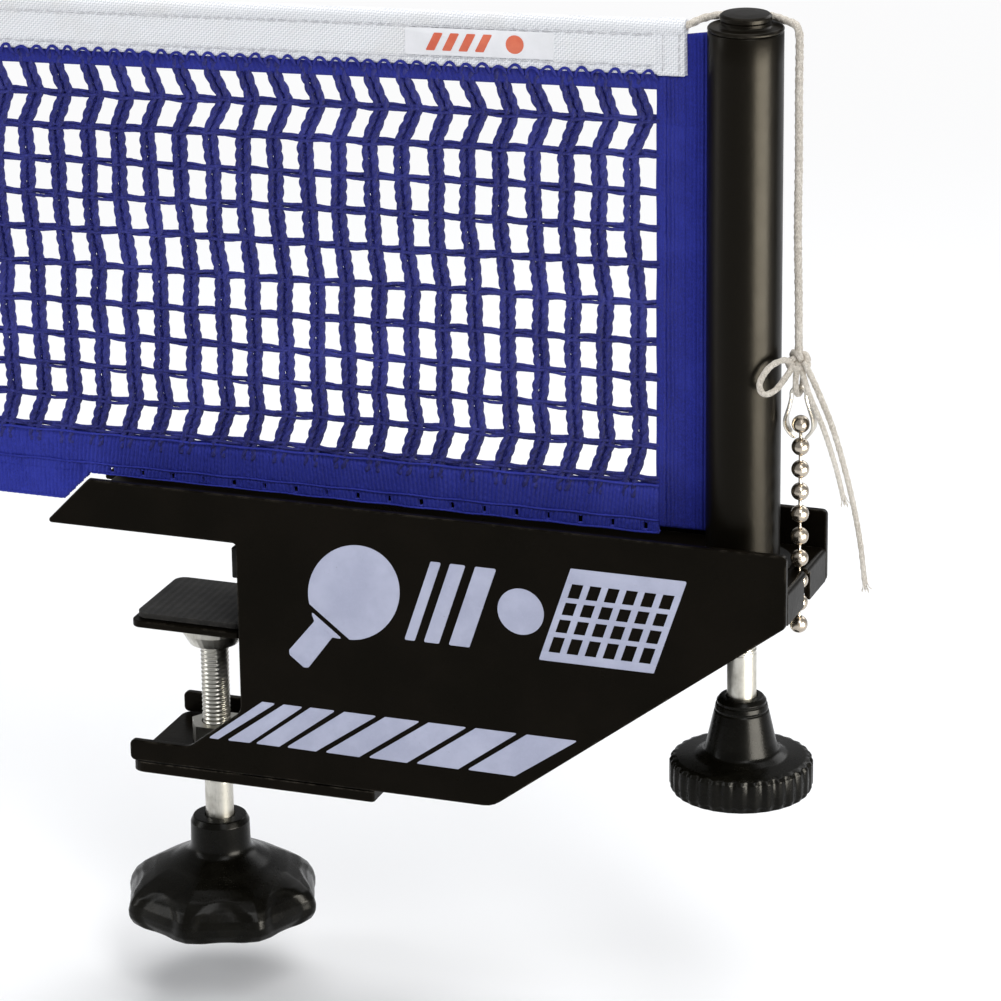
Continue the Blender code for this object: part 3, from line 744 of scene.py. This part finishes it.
def big_knob():
    """Eight flattened sides, each with a shallow dip."""
    outline = rounded_profile(BIG_KNOB)
    profile = [outline[0]]
    for point in outline[1:]:
        # Outside the bore the profile is cut finely enough to take the dips.
        last = profile[-1]
        cuts = max(1, int(np.hypot(*(point - last)) / 0.9)) if point[0] > 8 else 1
        profile += [last + (point - last) * k / cuts for k in range(1, cuts + 1)]
    sector = PI / 4

    def mod(radius, z, angle):
        off = (angle - math.radians(22.5) + sector / 2) % sector - sector / 2
        # Soft minimum of the flat side and the round rim.
        flat, rim, soft = 0.925 / np.cos(off), 0.992, 14.0
        scale = -np.log(np.exp(-soft * flat) + np.exp(-soft * rim)) / soft + 0.022
        radius = radius * (1 + (scale - 1) * smooth(clip01((radius - 14) / 9)))
        from_dip = np.hypot(off / math.radians(20.5), (z + 113.6) / 7.2)
        dip = smooth(clip01((1 - from_dip) / 0.38))
        return radius - 0.95 * dip * clip01((radius - 17) / 4)
    return Solid().add(*lathe(profile, SCREW_X, 320, mod))


def small_knob():
    """A rim with 32 flutes, shallower round its middle."""
    def mod(radius, z, angle):
        depth = 0.80 * clip01((radius - 18.4) / 0.8)
        depth = depth * (0.40 + 0.60 * clip01((np.abs(z + 56.2) - 2.2) / 1.2))
        return radius - depth * (0.5 + 0.5 * np.cos(32 * angle)) ** 1.3
    return Solid().add(*lathe(rounded_profile(SMALL_KNOB, seg=5), ADJ_X, 320, mod))


big_knob().piece("clamp_knob_lobed", "clamp_handle", M_KNOB, "knob_plastic", ["clamp_knob"],
                 sharp=50)
small_knob().piece("height_knob_fluted", "height_adjuster", M_KNOB, "knob_plastic",
                   ["adjust_knob"], sharp=50)


# ------------------------------------------------------------------ net
NET_FOOT = 20.9
PITCH = 9.2
LINES = [125.6, 116.0, 106.0, 96.0, 86.0, 75.2, 64.4, 54.3, 44.6, 35.0, 25.5]
# Sideways lean of the columns, given at heights from the top down.
LEAN_Z = np.array([139.0, 134.2] + LINES + [20.0, 9.7])
LEAN = np.array([-2.6, -2.4, 0.9, -3.1, -2.8, -3.0, -2.3, -1.1, -1.5, -1.0, -1.3, -0.6, -3.7,
                 -4.0, -4.0])
COLS = np.arange(22)
COL_X = SIDE_LEFT - 4.3 - PITCH * COLS
JITTER = RNG.normal(0, 0.30, (len(COLS), len(LEAN_Z)))
JITTER[:, 0] *= 0.3


def column_path(k, z):
    def lean(height):
        return np.interp(height, LEAN_Z[::-1], (LEAN + JITTER[k])[::-1])
    soft = sum(lean(z + d) for d in (-1.1, -0.6, 0.6, 1.1)) / 4
    return COL_X[k] + 0.4 * lean(z) + 0.6 * soft


def line_near(z):
    """1 at a cross line, 0 in the middle of a row."""
    distance = np.min(np.abs(z[:, None] - np.array(LINES + [134.4])[None]), axis=1)
    return clip01(1 - distance / 2.4)


def net_knit():
    net = Solid()
    z = np.arange(NET_FOOT - 0.4, 137.2, 0.40)
    near = line_near(z)
    for k in COLS:
        # Each column: a twisted pair on either side, a core and a zigzag in front of them.
        centre = column_path(k, z)
        wide = 1.30 - 0.16 * near + 0.06 * np.sin(z * 0.7 + k * 1.7)
        belly = -0.18 * (1 - near) + 0.05 * np.sin(z * 0.9 + k)
        for side in (-1, 1):
            for strand in (0, 1):
                phase = PI * z / 3.3 + k * 1.3 + side * 0.8 + PI * strand
                x = centre + side * wide + 0.36 * np.cos(phase)
                line = path(x, belly + 0.30 * np.sin(phase), z)
                radius = 0.74 + 0.05 * np.sin(z * 1.9 + strand)
                net.add(*tube(line, radius, 7, ref=(0, 1, 0)))
        net.add(*tube(path(centre, 0.42, z), 0.62, 6, ref=(1, 0, 0), flat=0.6))
        phase = PI * z / 1.30 + k
        x = centre + (0.95 * wide / 1.42) * np.clip(1.35 * np.cos(phase), -1, 1)
        line = path(x, 0.30 + 0.22 * np.sin(phase * 2), z)
        net.add(*tube(line, 0.46, 6, ref=(0, 1, 0)))
    x = np.arange(NET_LEFT, SIDE_LEFT + 0.9, 0.8)
    phase = 2 * PI * (x - COL_X[0]) / PITCH
    for n, height in enumerate(LINES):
        for offset, radius in ((-0.66, 0.48), (0.64, 0.48), (0.0, 0.50)):
            z = (height + offset + 0.13 * np.sin(phase + n)
                 + 0.16 * np.sin(x * 0.055 + n * 2.1) + RNG.normal(0, 0.03, len(x)))
            shift = PI / 2 if offset > 0 else 0
            y = (-0.58 if offset else 0.50) * np.cos(phase / 2 + shift + n) - 0.12
            net.add(*tube(path(x, y, z), radius, 6, ref=(0, 0, 1)))
    return net


def ribs(x, z, rib, course, lean=0.0, seed=0.0):
    """Height of dense knitting: V-shaped loops stacked in ribs."""
    across = (x + lean * z) / rib
    up = (z / course + 0.22 * np.abs(((across + 0.25) % 1.0) - 0.5) * 4
          + 0.35 * np.sin(np.floor(across) * 2.3 + seed))
    ridge = np.abs(np.cos(PI * across))
    return 0.62 * ridge + 0.38 * (0.5 + 0.5 * np.cos(2 * PI * up)) * ridge


def selvedge():
    """The knitted upper edge of the net, with loops over it."""
    foot, top = 133.7, 138.8
    x, z = np.meshgrid(np.arange(NET_LEFT, SIDE_LEFT + 0.4, 0.38),
                       np.linspace(foot, top, 14), indexing="ij")
    right = SIDE_LEFT + 0.2
    outline = [(NET_LEFT, foot), (right, foot), (right, top), (NET_LEFT, top)]
    height = ribs(x, z, rib=1.53, course=1.25, lean=0.35)
    edge = rounded_edge(x, z, outline, width=0.9, least=0.02)
    thick = (0.55 + 0.42 * height + 0.08 * np.sin(x * 0.9)) * edge
    cells = np.ones((x.shape[0] - 1, x.shape[1] - 1), bool)
    band = Solid().add(*slab(x, z, cells, -thick, thick))
    for i, mid in enumerate(np.arange(NET_LEFT + 3, SIDE_LEFT - 1, PITCH / 2)):
        for side in (-1, 1):
            jit = RNG.normal(0, 0.18, 3)
            crest = 138.75 + 0.25 * (i % 2) + 0.6 * jit[0]
            near, far = side * 0.9, side * 1.62
            outer = far + side * 0.05
            loop = [(mid - 1.9, near, 136.6), (mid - 1.5 + jit[1], far, 137.8),
                    (mid - 0.5, outer, crest), (mid + 0.7, outer, crest - 0.1),
                    (mid + 1.6 + jit[2], far, 137.7), (mid + 2.0, near, 136.6)]
            band.add(*tube(catmull(loop, 0.45), 0.42, 6, ref=(0, 1, 0)))
    return band


def hem():
    """The knitted lower band; it reaches lower at its left end and is slit between columns."""
    left, right = HEM_LEFT, SIDE_LEFT + 0.3
    foot, step, top = HEM_FOOT, 9.7, 24.0
    x, z = np.meshgrid(
        np.arange(left, right + 0.01, 0.285),
        np.unique(np.concatenate([np.linspace(foot, step, 19), np.linspace(step, top, 31)])),
        indexing="ij")
    outline = [(left, foot), (-56.3, foot), (-47.2, step), (right, step), (right, top),
               (left, top)]
    mid_x, mid_z = cell_centres(x), cell_centres(z)
    first_gap = COL_X[0] - 4.0 + PITCH / 2
    to_gap = (mid_x - first_gap) % PITCH
    to_gap = np.minimum(to_gap, PITCH - to_gap) + 0.10 * np.sin(mid_x * 0.31)
    slit = (to_gap < 0.62) & (mid_z > 10.55) & (mid_z < 13.1) & (mid_x > -46)
    cells = poly_inside(mid_x, mid_z, outline) & ~slit
    height = ribs(x, z, rib=1.15, course=1.9, lean=0.12 * np.sin(x * 0.05))
    edge = rounded_edge(x, z, outline, width=0.9, least=0.03)
    seam = bell(z, 13.9, 0.45) + bell(z, 22.9, 0.4) + 0.7 * bell(z, 9.9, 0.35)
    column = np.cos(2 * PI * (x - COL_X[0] + 4.0) / PITCH)
    near = np.abs((x - first_gap + PITCH / 2) % PITCH - PITCH / 2)
    dent = bell(near, 0, 0.55) * clip01((13.2 - z) / 0.5) * clip01((z - 7.0) / 0.5) * (x < -46)
    thick = 0.52 + 0.46 * height + 0.10 * column + 0.088 * np.sin(x * 0.12) - 0.26 * seam
    thick = thick * edge * (1 - 0.62 * dent)
    band = Solid().add(*slab(x, z, cells, -thick, thick))
    run = np.arange(left, right, 0.7)
    # Cords along the band: height, radius, x positions, distance from y = 0, swing, waviness
    for height, radius, x, depth, swing, wave in (
        (23.9, 0.42, run, 0.80, 0.16, 0.12),
        (14.0, 0.34, run, 0.80, 0.16, 0.12),
        (10.15, 0.40, run[run > -47], 0.80, 0.16, 0.12),
        (foot + 0.45, 0.40, run[run < -56], 0.55, 0.12, 0.0),
    ):
        for side in (-1, 1):
            y = side * (depth + swing * np.cos(2 * PI * x / 1.15))
            line = path(x, y, height + wave * np.sin(x * 0.4 + height))
            band.add(*tube(line, radius, 6, ref=(0, 0, 1)))
    return band


def side_band():
    """The knitted band beside the post, with a narrower neck at its top."""
    outline = [(118.4, 12), (135.4, 12), (135.4, 143.3), (133.8, 143.3), (133.8, 148.9),
               (126.9, 148.9), (126.9, 137.8), (118.4, 137.8)]
    x, z = np.meshgrid(
        np.unique(np.concatenate([np.arange(118.4, 135.41, 0.29), [126.9, 133.8, 135.4]])),
        np.unique(np.concatenate([np.arange(12, 149.3, 0.46), [137.8, 143.3, 148.9]])),
        indexing="ij")
    cells = poly_inside(cell_centres(x), cell_centres(z), outline)
    edge = rounded_edge(x, z, outline, width=0.8, least=0.03)
    height = ribs(x, z, rib=1.05, course=1.25, seed=1.0)
    ripple = (0.20 * np.sin(z * 0.16 + 0.5 * np.sin(x * 0.3))
              + 0.12 * np.sin(z * 0.41 + x * 0.25))
    roll = 0.30 * bell(x, 120.4, 1.3)
    crease = bell(z + 0.12 * (x - 119), 125.2, 0.55)
    thick = (0.42 + 0.46 * height + roll - 0.34 * crease) * edge
    thick = np.minimum(thick, np.where(x > 131.2, 0.85, 9))
    y = ripple * clip01((133.5 - x) / 6)
    band = Solid().add(*slab(x, z, cells, y - thick, y + thick))
    z = np.arange(13, 137, 0.7)
    for side in (-1, 1):
        y = side * (0.92 + 0.10 * np.sin(z * 2.2)) + 0.2 * np.sin(z * 0.16)
        band.add(*tube(path(121.9 + 0.12 * np.sin(z * 1.1), y, z), 0.26, 6, ref=(0, 1, 0)))
    return band


net_knit().piece("net_knit", "post", M_NET, "net_blue", ["net_panel"], sharp=75, hang=True)
selvedge().piece("net_selvedge", "post", M_KNIT, "net_blue", sharp=75, hang=True)
hem().piece("net_hem_knit", "post", M_HEM_PAINTED_LIGHT, "net_blue", ["net_bottom_hem"], sharp=75, hang=True)
side_band().piece("net_side_sleeve", "post", M_KNIT, "net_blue", ["net_side_band"], sharp=75,
                  hang=True)


# ------------------------------------------------------------------ white tape over its cord
TAPE_SECTION = [  # y, z of the front half, from the top down
    (0, 152.55), (-0.95, 152.35), (-1.62, 151.55), (-1.84, 150.55), (-1.62, 149.6),
    (-1.26, 148.85), (-1.20, 148.4), (-1.36, 147.4), (-1.42, 145.6), (-1.40, 143.4),
    (-1.37, 141.4), (-1.22, 140.35), (-1.36, 139.3), (-1.40, 138.5), (-1.10, 138.02),
    (-0.70, 138.1)]
STITCH = 3.1


def tape():
    back = [(-y, z) for y, z in TAPE_SECTION[::-1][:-1]]
    section = catmull(TAPE_SECTION + back, 0.5, closed=True)
    normal = np.roll(section, -1, 0) - np.roll(section, 1, 0)
    normal = unit(np.stack([normal[:, 1], -normal[:, 0]], -1))

    def row(x, offset):
        y, z = (section + normal * offset).T
        pucker = 0.05 * np.sin(2 * PI * x / STITCH) * (bell(z, 148.6, 1.0) + bell(z, 140.3, 1.0))
        wave = 0.10 * np.sin(x * 0.045) + 0.04 * np.sin(x * 0.21)
        bent = y + pucker * np.sign(y) + wave * 0.6 * (1 - np.abs(z - 145) / 20)
        return path(x, bent, z + 0.06 * np.sin(x * 0.17) * (z < 141))

    # Stations of x and outward offset: the whole tape, then a short wrap near its right end.
    main = [(x, 0.0) for x in np.arange(TAPE_LEFT, TAPE_RIGHT - 0.6, 0.8)]
    main += [(TAPE_RIGHT - 0.35, 0.0), (TAPE_RIGHT - 0.1, -0.08), (TAPE_RIGHT, -0.28)]
    wrap = [(118.9, -0.05), (118.95, 0.20), (119.25, 0.34)]
    wrap += [(x, 0.34 + 0.03 * math.sin(x * 2.0)) for x in np.arange(120, 126, 0.8)]
    wrap += [(126.35, 0.32), (126.6, 0.16), (126.65, -0.1)]
    band = Solid()
    for stations in (main, wrap):
        rows = [row(x, offset) for x, offset in stations]
        band.add(np.concatenate(rows), sweep_faces(len(rows), len(section)))
    return band


def stitches():
    seams = Solid()
    t = np.linspace(0, 1, 5)
    arch = np.sin(PI * t)
    for height, depth in ((148.55, 1.26), (140.35, 1.28)):
        for x in np.arange(TAPE_LEFT + 1, 118.0, STITCH):
            for side in (-1, 1):
                wave = 0.10 * math.sin(x * 0.045) * 0.6
                line = path(x + 2.25 * t, side * (depth + 0.16 * arch + 0.02) + wave,
                            height + 0.10 * np.sin(x) + 0.12 * t)
                seams.add(*tube(line, 0.21, 6, ref=(0, 0, 1)))
    for x in (120.6, 125.0):
        for z in np.arange(139.2, 148.0, 2.6):
            for side in (-1, 1):
                line = path(x + 0.1 * t, side * (1.70 + 0.14 * arch), z + 1.8 * t)
                seams.add(*tube(line, 0.21, 6, ref=(0, 1, 0)))
    return seams


def patch():
    corners = [(49.2, 140.9), (90.8, 140.9), (90.8, 148.2), (49.2, 148.2)]
    return Solid().add(*plate(fillet(corners, 0.7, closed=True), -1.74, -1.30, bevel=0.08))


def patch_motif():
    """Four slanted bars and a disc."""
    outlines = []
    for i in range(4):
        x = 55.0 + 4.6 * i
        bar = [(x, 142.2), (x + 2.5, 142.2), (x + 5.0, 147.0), (x + 2.5, 147.0)]
        outlines.append(fillet(bar, 0.3, closed=True))
    outlines.append(disc(80.0, 144.6, 2.5, 40))
    motif = Solid()
    for outline in outlines:
        motif.add(*plate(outline, -1.80, -1.70, bevel=0.02))
    return motif


tape().piece("tape_folded", "post", M_TAPE, "tape_white", ["net_top_tape"], sharp=60, hang=True)
stitches().piece("tape_stitches", "post", M_THREAD, "tape_white", sharp=75, hang=True)
patch().piece("tape_patch", "post", M_LABEL, "tape_white", hang=True)
patch_motif().piece("tape_patch_motif", "post", M_ACCENT, "tape_white", hang=True)


# ------------------------------------------------------------------ prints on the side plate
INK_FRONT, INK_BACK = PLATE_FRONT - 0.07, PLATE_FRONT + 0.03
STRIPES = [  # four x, z corners each
    [(10.6, -45.0), (14.7, -45.0), (-3.0, -57.9), (-6.0, -57.9)],
    [(17.0, -45.0), (22.8, -45.0), (6.4, -57.8), (-0.4, -57.9)],
    [(24.9, -44.9), (32.4, -44.9), (15.3, -57.8), (8.1, -57.8)],
    [(34.9, -44.9), (44.6, -44.9), (26.2, -57.8), (17.4, -57.7)],
    [(46.9, -44.9), (57.2, -44.9), (39.0, -57.8), (28.8, -57.7)],
    [(59.6, -44.9), (70.8, -44.9), (53.0, -57.7), (41.6, -57.6)],
    [(73.3, -44.8), (85.4, -44.8), (68.0, -57.6), (55.6, -57.5)],
    [(88.0, -44.8), (102.6, -44.8), (84.4, -57.5), (70.6, -57.4)]]
BLADE_X, BLADE_Z, BLADE_TILT = 38.5, -9.6, math.radians(52)
GRIP = [(-13.2, 5.9), (-14.9, 3.3), (-27.0, 3.6), (-28.0, 2.6),  # along, across the bat
        (-28.0, -2.6), (-27.0, -3.6), (-14.9, -3.3), (-13.2, -5.9)]
SLANT, SLANT_FOOT = 0.34, -21.5
MESH_LEFT, MESH_RIGHT = 92.0, 124.5


def ink(outlines, front=INK_FRONT):
    film = Solid()
    for outline in outlines:
        film.add(*plate(outline, front, INK_BACK, bevel=0.02))
    return film


def tilted(along, across):
    cos, sin = math.cos(BLADE_TILT), math.sin(BLADE_TILT)
    return BLADE_X + along * cos - across * sin, BLADE_Z + along * sin + across * cos


def slanted(left, right, low, high, radius=0.0):
    corners = [(x + SLANT * (z - SLANT_FOOT), z)
               for x, z in ((left, low), (right, low), (right, high), (left, high))]
    return fillet(corners, radius, closed=True, seg=4)


def emblem():
    """A bat, three slanted bars, a disc and a slanted mesh."""
    outlines = [[tilted(14.6 * math.cos(q), 12.6 * math.sin(q))
                 for q in np.linspace(-2.52, 2.52, 60)],
                fillet([tilted(*point) for point in GRIP], 0.8, closed=True, seg=4)]
    for left, width in ((53.0, 3.0), (58.6, 4.4), (65.8, 6.0)):
        outlines.append(slanted(left, left + width, SLANT_FOOT, 2.0, radius=0.5))
    outlines.append(disc(86.6, -9.4, 6.6, 56))
    for low, high in ((0.2, 4.6), (-22.6, -20.0)):
        outlines.append(slanted(MESH_LEFT, MESH_RIGHT, low, high, radius=0.5))
    for z in (-4.6, -9.6, -14.8):
        outlines.append(slanted(MESH_LEFT, MESH_RIGHT, z - 0.7, z + 0.7))
    film = ink(outlines)
    for i in range(7):
        left = MESH_LEFT + 5.1 * i
        film.add(*plate(slanted(left, left + 1.9, -20.6, 0.8), INK_FRONT + 0.012, INK_BACK,
                        bevel=0.02))
    return film


ink(fillet(stripe, 0.35, closed=True, seg=4) for stripe in STRIPES).piece(
    "plate_stripes", "bracket", M_INK, "black_enamel")
emblem().piece("plate_emblem", "bracket", M_INK, "black_enamel")


# ------------------------------------------------------------------ cord, knot, bow and tails
CORD = [  # x, y, z
    (126.0, 0, 149.6), (127.6, 0.3, 150.4), (131, 2.4, 151.8), (136.6, 6.4, 152.3),
    (142.5, 7.8, 152.3), (148.4, 6.4, 152.3), (152.6, 2.9, 152.35), (155.4, 0.7, 152.2),
    (156.6, 0.1, 150.8), (156.95, 0, 147.5), (156.9, 0.1, 134), (157.1, -0.1, 116),
    (157.0, 0, 98), (157.35, 0.1, 80), (157.5, 0, 70), (157.6, 0, 64.6)]
KNOT_WRAP = [
    (154.9, -0.6, 61.6), (156.2, -2.5, 61.0), (158.4, -2.7, 60.6), (160.0, -0.9, 60.9),
    (159.4, 1.5, 61.4), (157.2, 2.3, 61.6), (155.2, 1.2, 61.8)]
KNOT_LOOP = [
    (157.8, 1.9, 60.9), (157.8, 3.3, 58.6), (157.8, 3.3, 55.9), (157.8, 2.3, 53.9),
    (157.8, 0, 53.15), (157.8, -2.3, 53.9), (157.8, -3.3, 55.9), (157.8, -3.3, 58.6),
    (157.8, -1.9, 60.9)]
BOW = [
    (156.4, -2.2, 61.8), (154.8, -4.2, 63.3), (152.3, -7.8, 62.5), (150.6, -10.2, 59.8),
    (150.2, -10.9, 57.4), (151.6, -10.8, 55.6), (153.9, -8.6, 56.4), (155.6, -5.0, 59.0),
    (156.6, -2.6, 60.9)]
LONG_TAIL = [
    (159.6, -1.6, 61.9), (160.9, -3.4, 61.4), (164.2, -5.2, 56.4), (169, -5.8, 45.6),
    (173.4, -6, 31), (176.4, -6, 17), (178.1, -6, 4.2)]
SHORT_TAIL = [
    (158.9, -2.0, 60.4), (160.6, -4.8, 58.7), (163.2, -8, 55), (167, -8.6, 47),
    (170.6, -8.8, 36.5), (172.7, -8.8, 28.4)]
CORD_STEP, CORD_SIDES = 0.42, 14


def braid(length, angle):
    lay = 2 * PI * length / 3.0
    return 1 + 0.075 * np.cos(4 * angle + lay) + 0.075 * np.cos(4 * angle - lay)


def rope(points, radius, closed=False):
    line = catmull(points, CORD_STEP, closed)
    return tube(line, radius, CORD_SIDES, closed=closed, swell=braid)


def knot():
    t = turn(120)
    ring = 2 + np.cos(3 * t)
    line = path(157.5 + 0.80 * ring * np.cos(2 * t), 1.35 * np.sin(3 * t),
                62.4 + 0.72 * ring * np.sin(2 * t))
    solid = Solid().add(*tube(line, 0.88, CORD_SIDES, closed=True, swell=braid))
    return solid.add(*rope(KNOT_WRAP, 0.86, closed=True)).add(*rope(KNOT_LOOP, 0.78))


def tail(points, radius):
    """A tapering cord with nine frayed strands at its end."""
    line = catmull(points, CORD_STEP)
    taper = np.linspace(radius, radius * 0.86, len(line))
    solid = Solid().add(*tube(line, taper, CORD_SIDES, swell=braid))
    end, along = line[-1], unit(line[-1] - line[-8])
    for i in range(9):
        angle = i * 2.4
        out = np.array([math.cos(angle), math.sin(angle), 0.2 * math.sin(i)])
        out *= 0.25 + 0.06 * i
        strand = [end - along * 0.8 + out * 0.8, end + along * 0.9 + out * 1.3,
                  end + along * (1.7 + 0.12 * (i % 4)) + out * 2.1]
        solid.add(*tube(catmull(strand, 0.3), 0.13, 5))
    return solid


tension_cord = Solid().add(*rope(CORD, 1.0)).piece(
    "tension_cord_braided", None, M_CORD, "cord_white", ["cord_over_post", "tension_cord"],
    sharp=80)
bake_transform(tension_cord)
for solid, name, nodes in (
    (knot(), "cord_knot", ["line_knot", "knot_loop"]),
    (Solid().add(*rope(BOW, 0.80)), "cord_bow", ["bow_loop"]),
    (tail(LONG_TAIL, 0.80), "cord_tail_a", ["cord_tail_long"]),
    (tail(SHORT_TAIL, 0.74), "cord_tail_b", ["cord_tail_short"]),
):
    solid.piece(name, "tension_line", M_CORD, "cord_white", nodes, sharp=80)


# ------------------------------------------------------------------ link and bead chain
LINK_LEFT = [(157, 41), (155.7, 41.9), (154.5, 43.8), (154.3, 46), (155.2, 49.4), (155.75, 52.0)]
LINK_RIGHT = [(159.85, 52.0), (160.7, 49.4), (161.9, 46.2), (161.8, 43.8), (160.6, 41.9),
              (159.7, 41)]
LINK_ARC_X, LINK_ARC_Z, LINK_ARC_R = 157.8, 53.0, 2.05
BEAD_R, BEAD_PITCH, BEAD_COUNT = 2.42, 6.26, 10


def chain_link():
    """A bent strip, open at the bottom and widest near its lower end."""
    arc = [(LINK_ARC_X + LINK_ARC_R * math.cos(q), LINK_ARC_Z + LINK_ARC_R * math.sin(q))
           for q in np.linspace(math.radians(200), math.radians(-20), 14)[1:-1]]
    line = catmull([(x, 0, z) for x, z in LINK_LEFT + arc + LINK_RIGHT], 0.4)
    along = unit(np.gradient(line, axis=0))
    rows = []
    for k, centre in enumerate(line):
        side = np.array([-along[k, 2], 0, along[k, 0]])
        wide, thick = 0.85 + 1.05 * bell(centre[2], 45.0, 3.6), 0.42
        half = [(-wide, -thick * 0.5), (-wide * 0.8, -thick), (wide * 0.8, -thick),
                (wide, -thick * 0.5)]
        section = np.array(half + [(-a, -b) for a, b in half])
        section = section * (1.0 if 0 < k < len(line) - 1 else 0.6)
        rows.append(centre + section[:, :1] * np.array([0, 1, 0]) + section[:, 1:] * side)
    return Solid().add(np.array(rows), sweep_faces(len(rows), 8))


def bead_chain():
    top = CHAIN_HI[2] - 2.2
    arc = [(BEAD_R * math.cos(q), BEAD_R * math.sin(q)) for q in np.linspace(-1.33, 1.33, 19)]
    ball = [(0, -BEAD_R)] + arc + [(0, BEAD_R)]
    chain = Solid()
    for i in range(BEAD_COUNT):
        z = top - BEAD_PITCH * i
        chain.add(*lathe([(radius, z + h) for radius, h in ball], CHAIN_X, 36))
        if i < BEAD_COUNT - 1:
            pin = np.linspace(z - 1.6, z - BEAD_PITCH + 1.6, 14)
            radius = 0.46 + 0.42 * bell(pin, pin[0], 0.5) + 0.42 * bell(pin, pin[-1], 0.5)
            chain.add(*tube(path(CHAIN_X, 0.0, pin), radius, 12, ref=(1, 0, 0)))
    return chain


chain_link().piece("chain_link_strip", "chain", M_LINK, "nickel_beads", ["wire_link"], sharp=35)
bead_chain().piece("bead_chain_balls", "chain", M_BEAD, "nickel_beads", ["bead_chain"],
                   sharp=50)


# ------------------------------------------------------------------ floor and world
FLOOR_Z = (box("clamp_knob")[0][2] - 21.5) / 1000
FLOOR_R = 6.0


def stage_mat():
    """Pale floor that glows with distance, for the camera only."""
    mat = Mat("stage_floor")
    place = mat.node("ShaderNodeNewGeometry")
    far = mat.node("ShaderNodeVectorMath", {0: place.outputs["Position"]}, operation="LENGTH")
    ray = mat.node("ShaderNodeLightPath")
    glow = mat.times(mat.ramp(far.outputs["Value"], low=0.34, high=1.05),
                     ray.outputs["Is Camera Ray"])
    pale = mat.mix(mat.noise(0.004), srgb(236, 237, 238), srgb(242, 242, 243))
    mat.put(Base_Color=mat.mix(glow, pale, srgb(0, 0, 0)),
            Emission_Color=(0.95, 0.95, 0.955, 1.0), Emission_Strength=glow,
            Roughness=0.75, Specular_IOR_Level=0.15)
    return mat.material


def studio_floor():
    mesh = bpy.data.meshes.new("studio_floor")
    rim = [(math.cos(q) * FLOOR_R, math.sin(q) * FLOOR_R, FLOOR_Z) for q in turn(64)]
    mesh.from_pydata(rim, [], [list(range(len(rim)))])
    floor = bpy.data.objects.new("studio_floor", mesh)
    bpy.context.scene.collection.objects.link(floor)
    mesh.materials.append(stage_mat())


def studio_world(lit, seen):
    """A pale world: strength lit for the light it gives, seen where the camera meets it."""
    world = bpy.data.worlds.new("studio")
    bpy.context.scene.world = world
    world.use_nodes = True
    nodes, links = world.node_tree.nodes, world.node_tree.links
    background = nodes["Background"]
    ray = nodes.new("ShaderNodeLightPath")
    strength = nodes.new("ShaderNodeMapRange")
    links.new(ray.outputs["Is Camera Ray"], strength.inputs[0])
    strength.inputs[3].default_value = lit
    strength.inputs[4].default_value = seen
    links.new(strength.outputs[0], background.inputs["Strength"])
    background.inputs["Color"].default_value = (0.93, 0.94, 0.96, 1)


studio_floor()
studio_world(lit=0.42, seen=0.95)


# ------------------------------------------------------------------ lights, in metres and watts
def area(name, place, size, power, color=(1, 1, 1), aim=(0.06, 0, 0.02), diffuse=True):
    light = bpy.data.lights.new(name, "AREA")
    light.shape = "RECTANGLE"
    light.size, light.size_y = size
    light.energy = power
    light.color = color
    lamp = bpy.data.objects.new(name, light)
    bpy.context.scene.collection.objects.link(lamp)
    lamp.location = place
    lamp.visible_camera = False
    lamp.visible_diffuse = diffuse
    lamp.rotation_euler = (Vector(aim) - Vector(place)).to_track_quat("-Z", "Y").to_euler()


POST_AIM = (0.1425, 0, 0.05)
area("key_soft", (0.95, -1.15, 1.45), size=(0.55, 1.2), power=17)
area("low_strip", (0.565, -0.165, 0.01), size=(0.36, 0.26), power=9.0,
     color=(1.0, 0.95, 0.84), aim=POST_AIM, diffuse=False)
area("low_left", (-0.42, -0.16, 0.0), size=(0.06, 0.22), power=0.15,
     color=(1.0, 0.94, 0.82), aim=POST_AIM, diffuse=False)
area("fill_left", (-1.55, -0.75, 0.75), size=(0.5, 1.3), power=9, color=(0.96, 0.98, 1.0))
area("top_soft", (0.05, 0.35, 1.7), size=(1.6, 1.2), power=20)
area("back_rim", (0.7, 1.5, 0.9), size=(1.0, 0.8), power=8)


# ------------------------------------------------------------------ camera
def add_camera(place, yaw, pitch, roll, lens):
    data = bpy.data.cameras.new("camera")
    camera = bpy.data.objects.new("camera", data)
    bpy.context.scene.collection.objects.link(camera)
    ahead = Vector((math.sin(yaw) * math.cos(pitch), math.cos(yaw) * math.cos(pitch),
                    -math.sin(pitch)))
    level = Vector((math.cos(yaw), -math.sin(yaw), 0))
    above = level.cross(ahead)
    right = level * math.cos(roll) + above * math.sin(roll)
    up = -level * math.sin(roll) + above * math.cos(roll)
    rotation = Matrix((right, up, -ahead)).transposed().to_4x4()
    camera.matrix_world = Matrix.Translation(Vector(place)) @ rotation
    data.sensor_width = 36.0
    data.lens = lens
    data.clip_start = 0.02
    data.clip_end = 30.0
    bpy.context.scene.camera = camera


add_camera((0.493445, -1.150712, 0.448711), yaw=-0.3496, pitch=0.3410, roll=-0.0118,
           lens=172.43)
bpy.context.scene.view_settings.view_transform = "Standard"
bpy.context.scene.view_settings.look = "None"
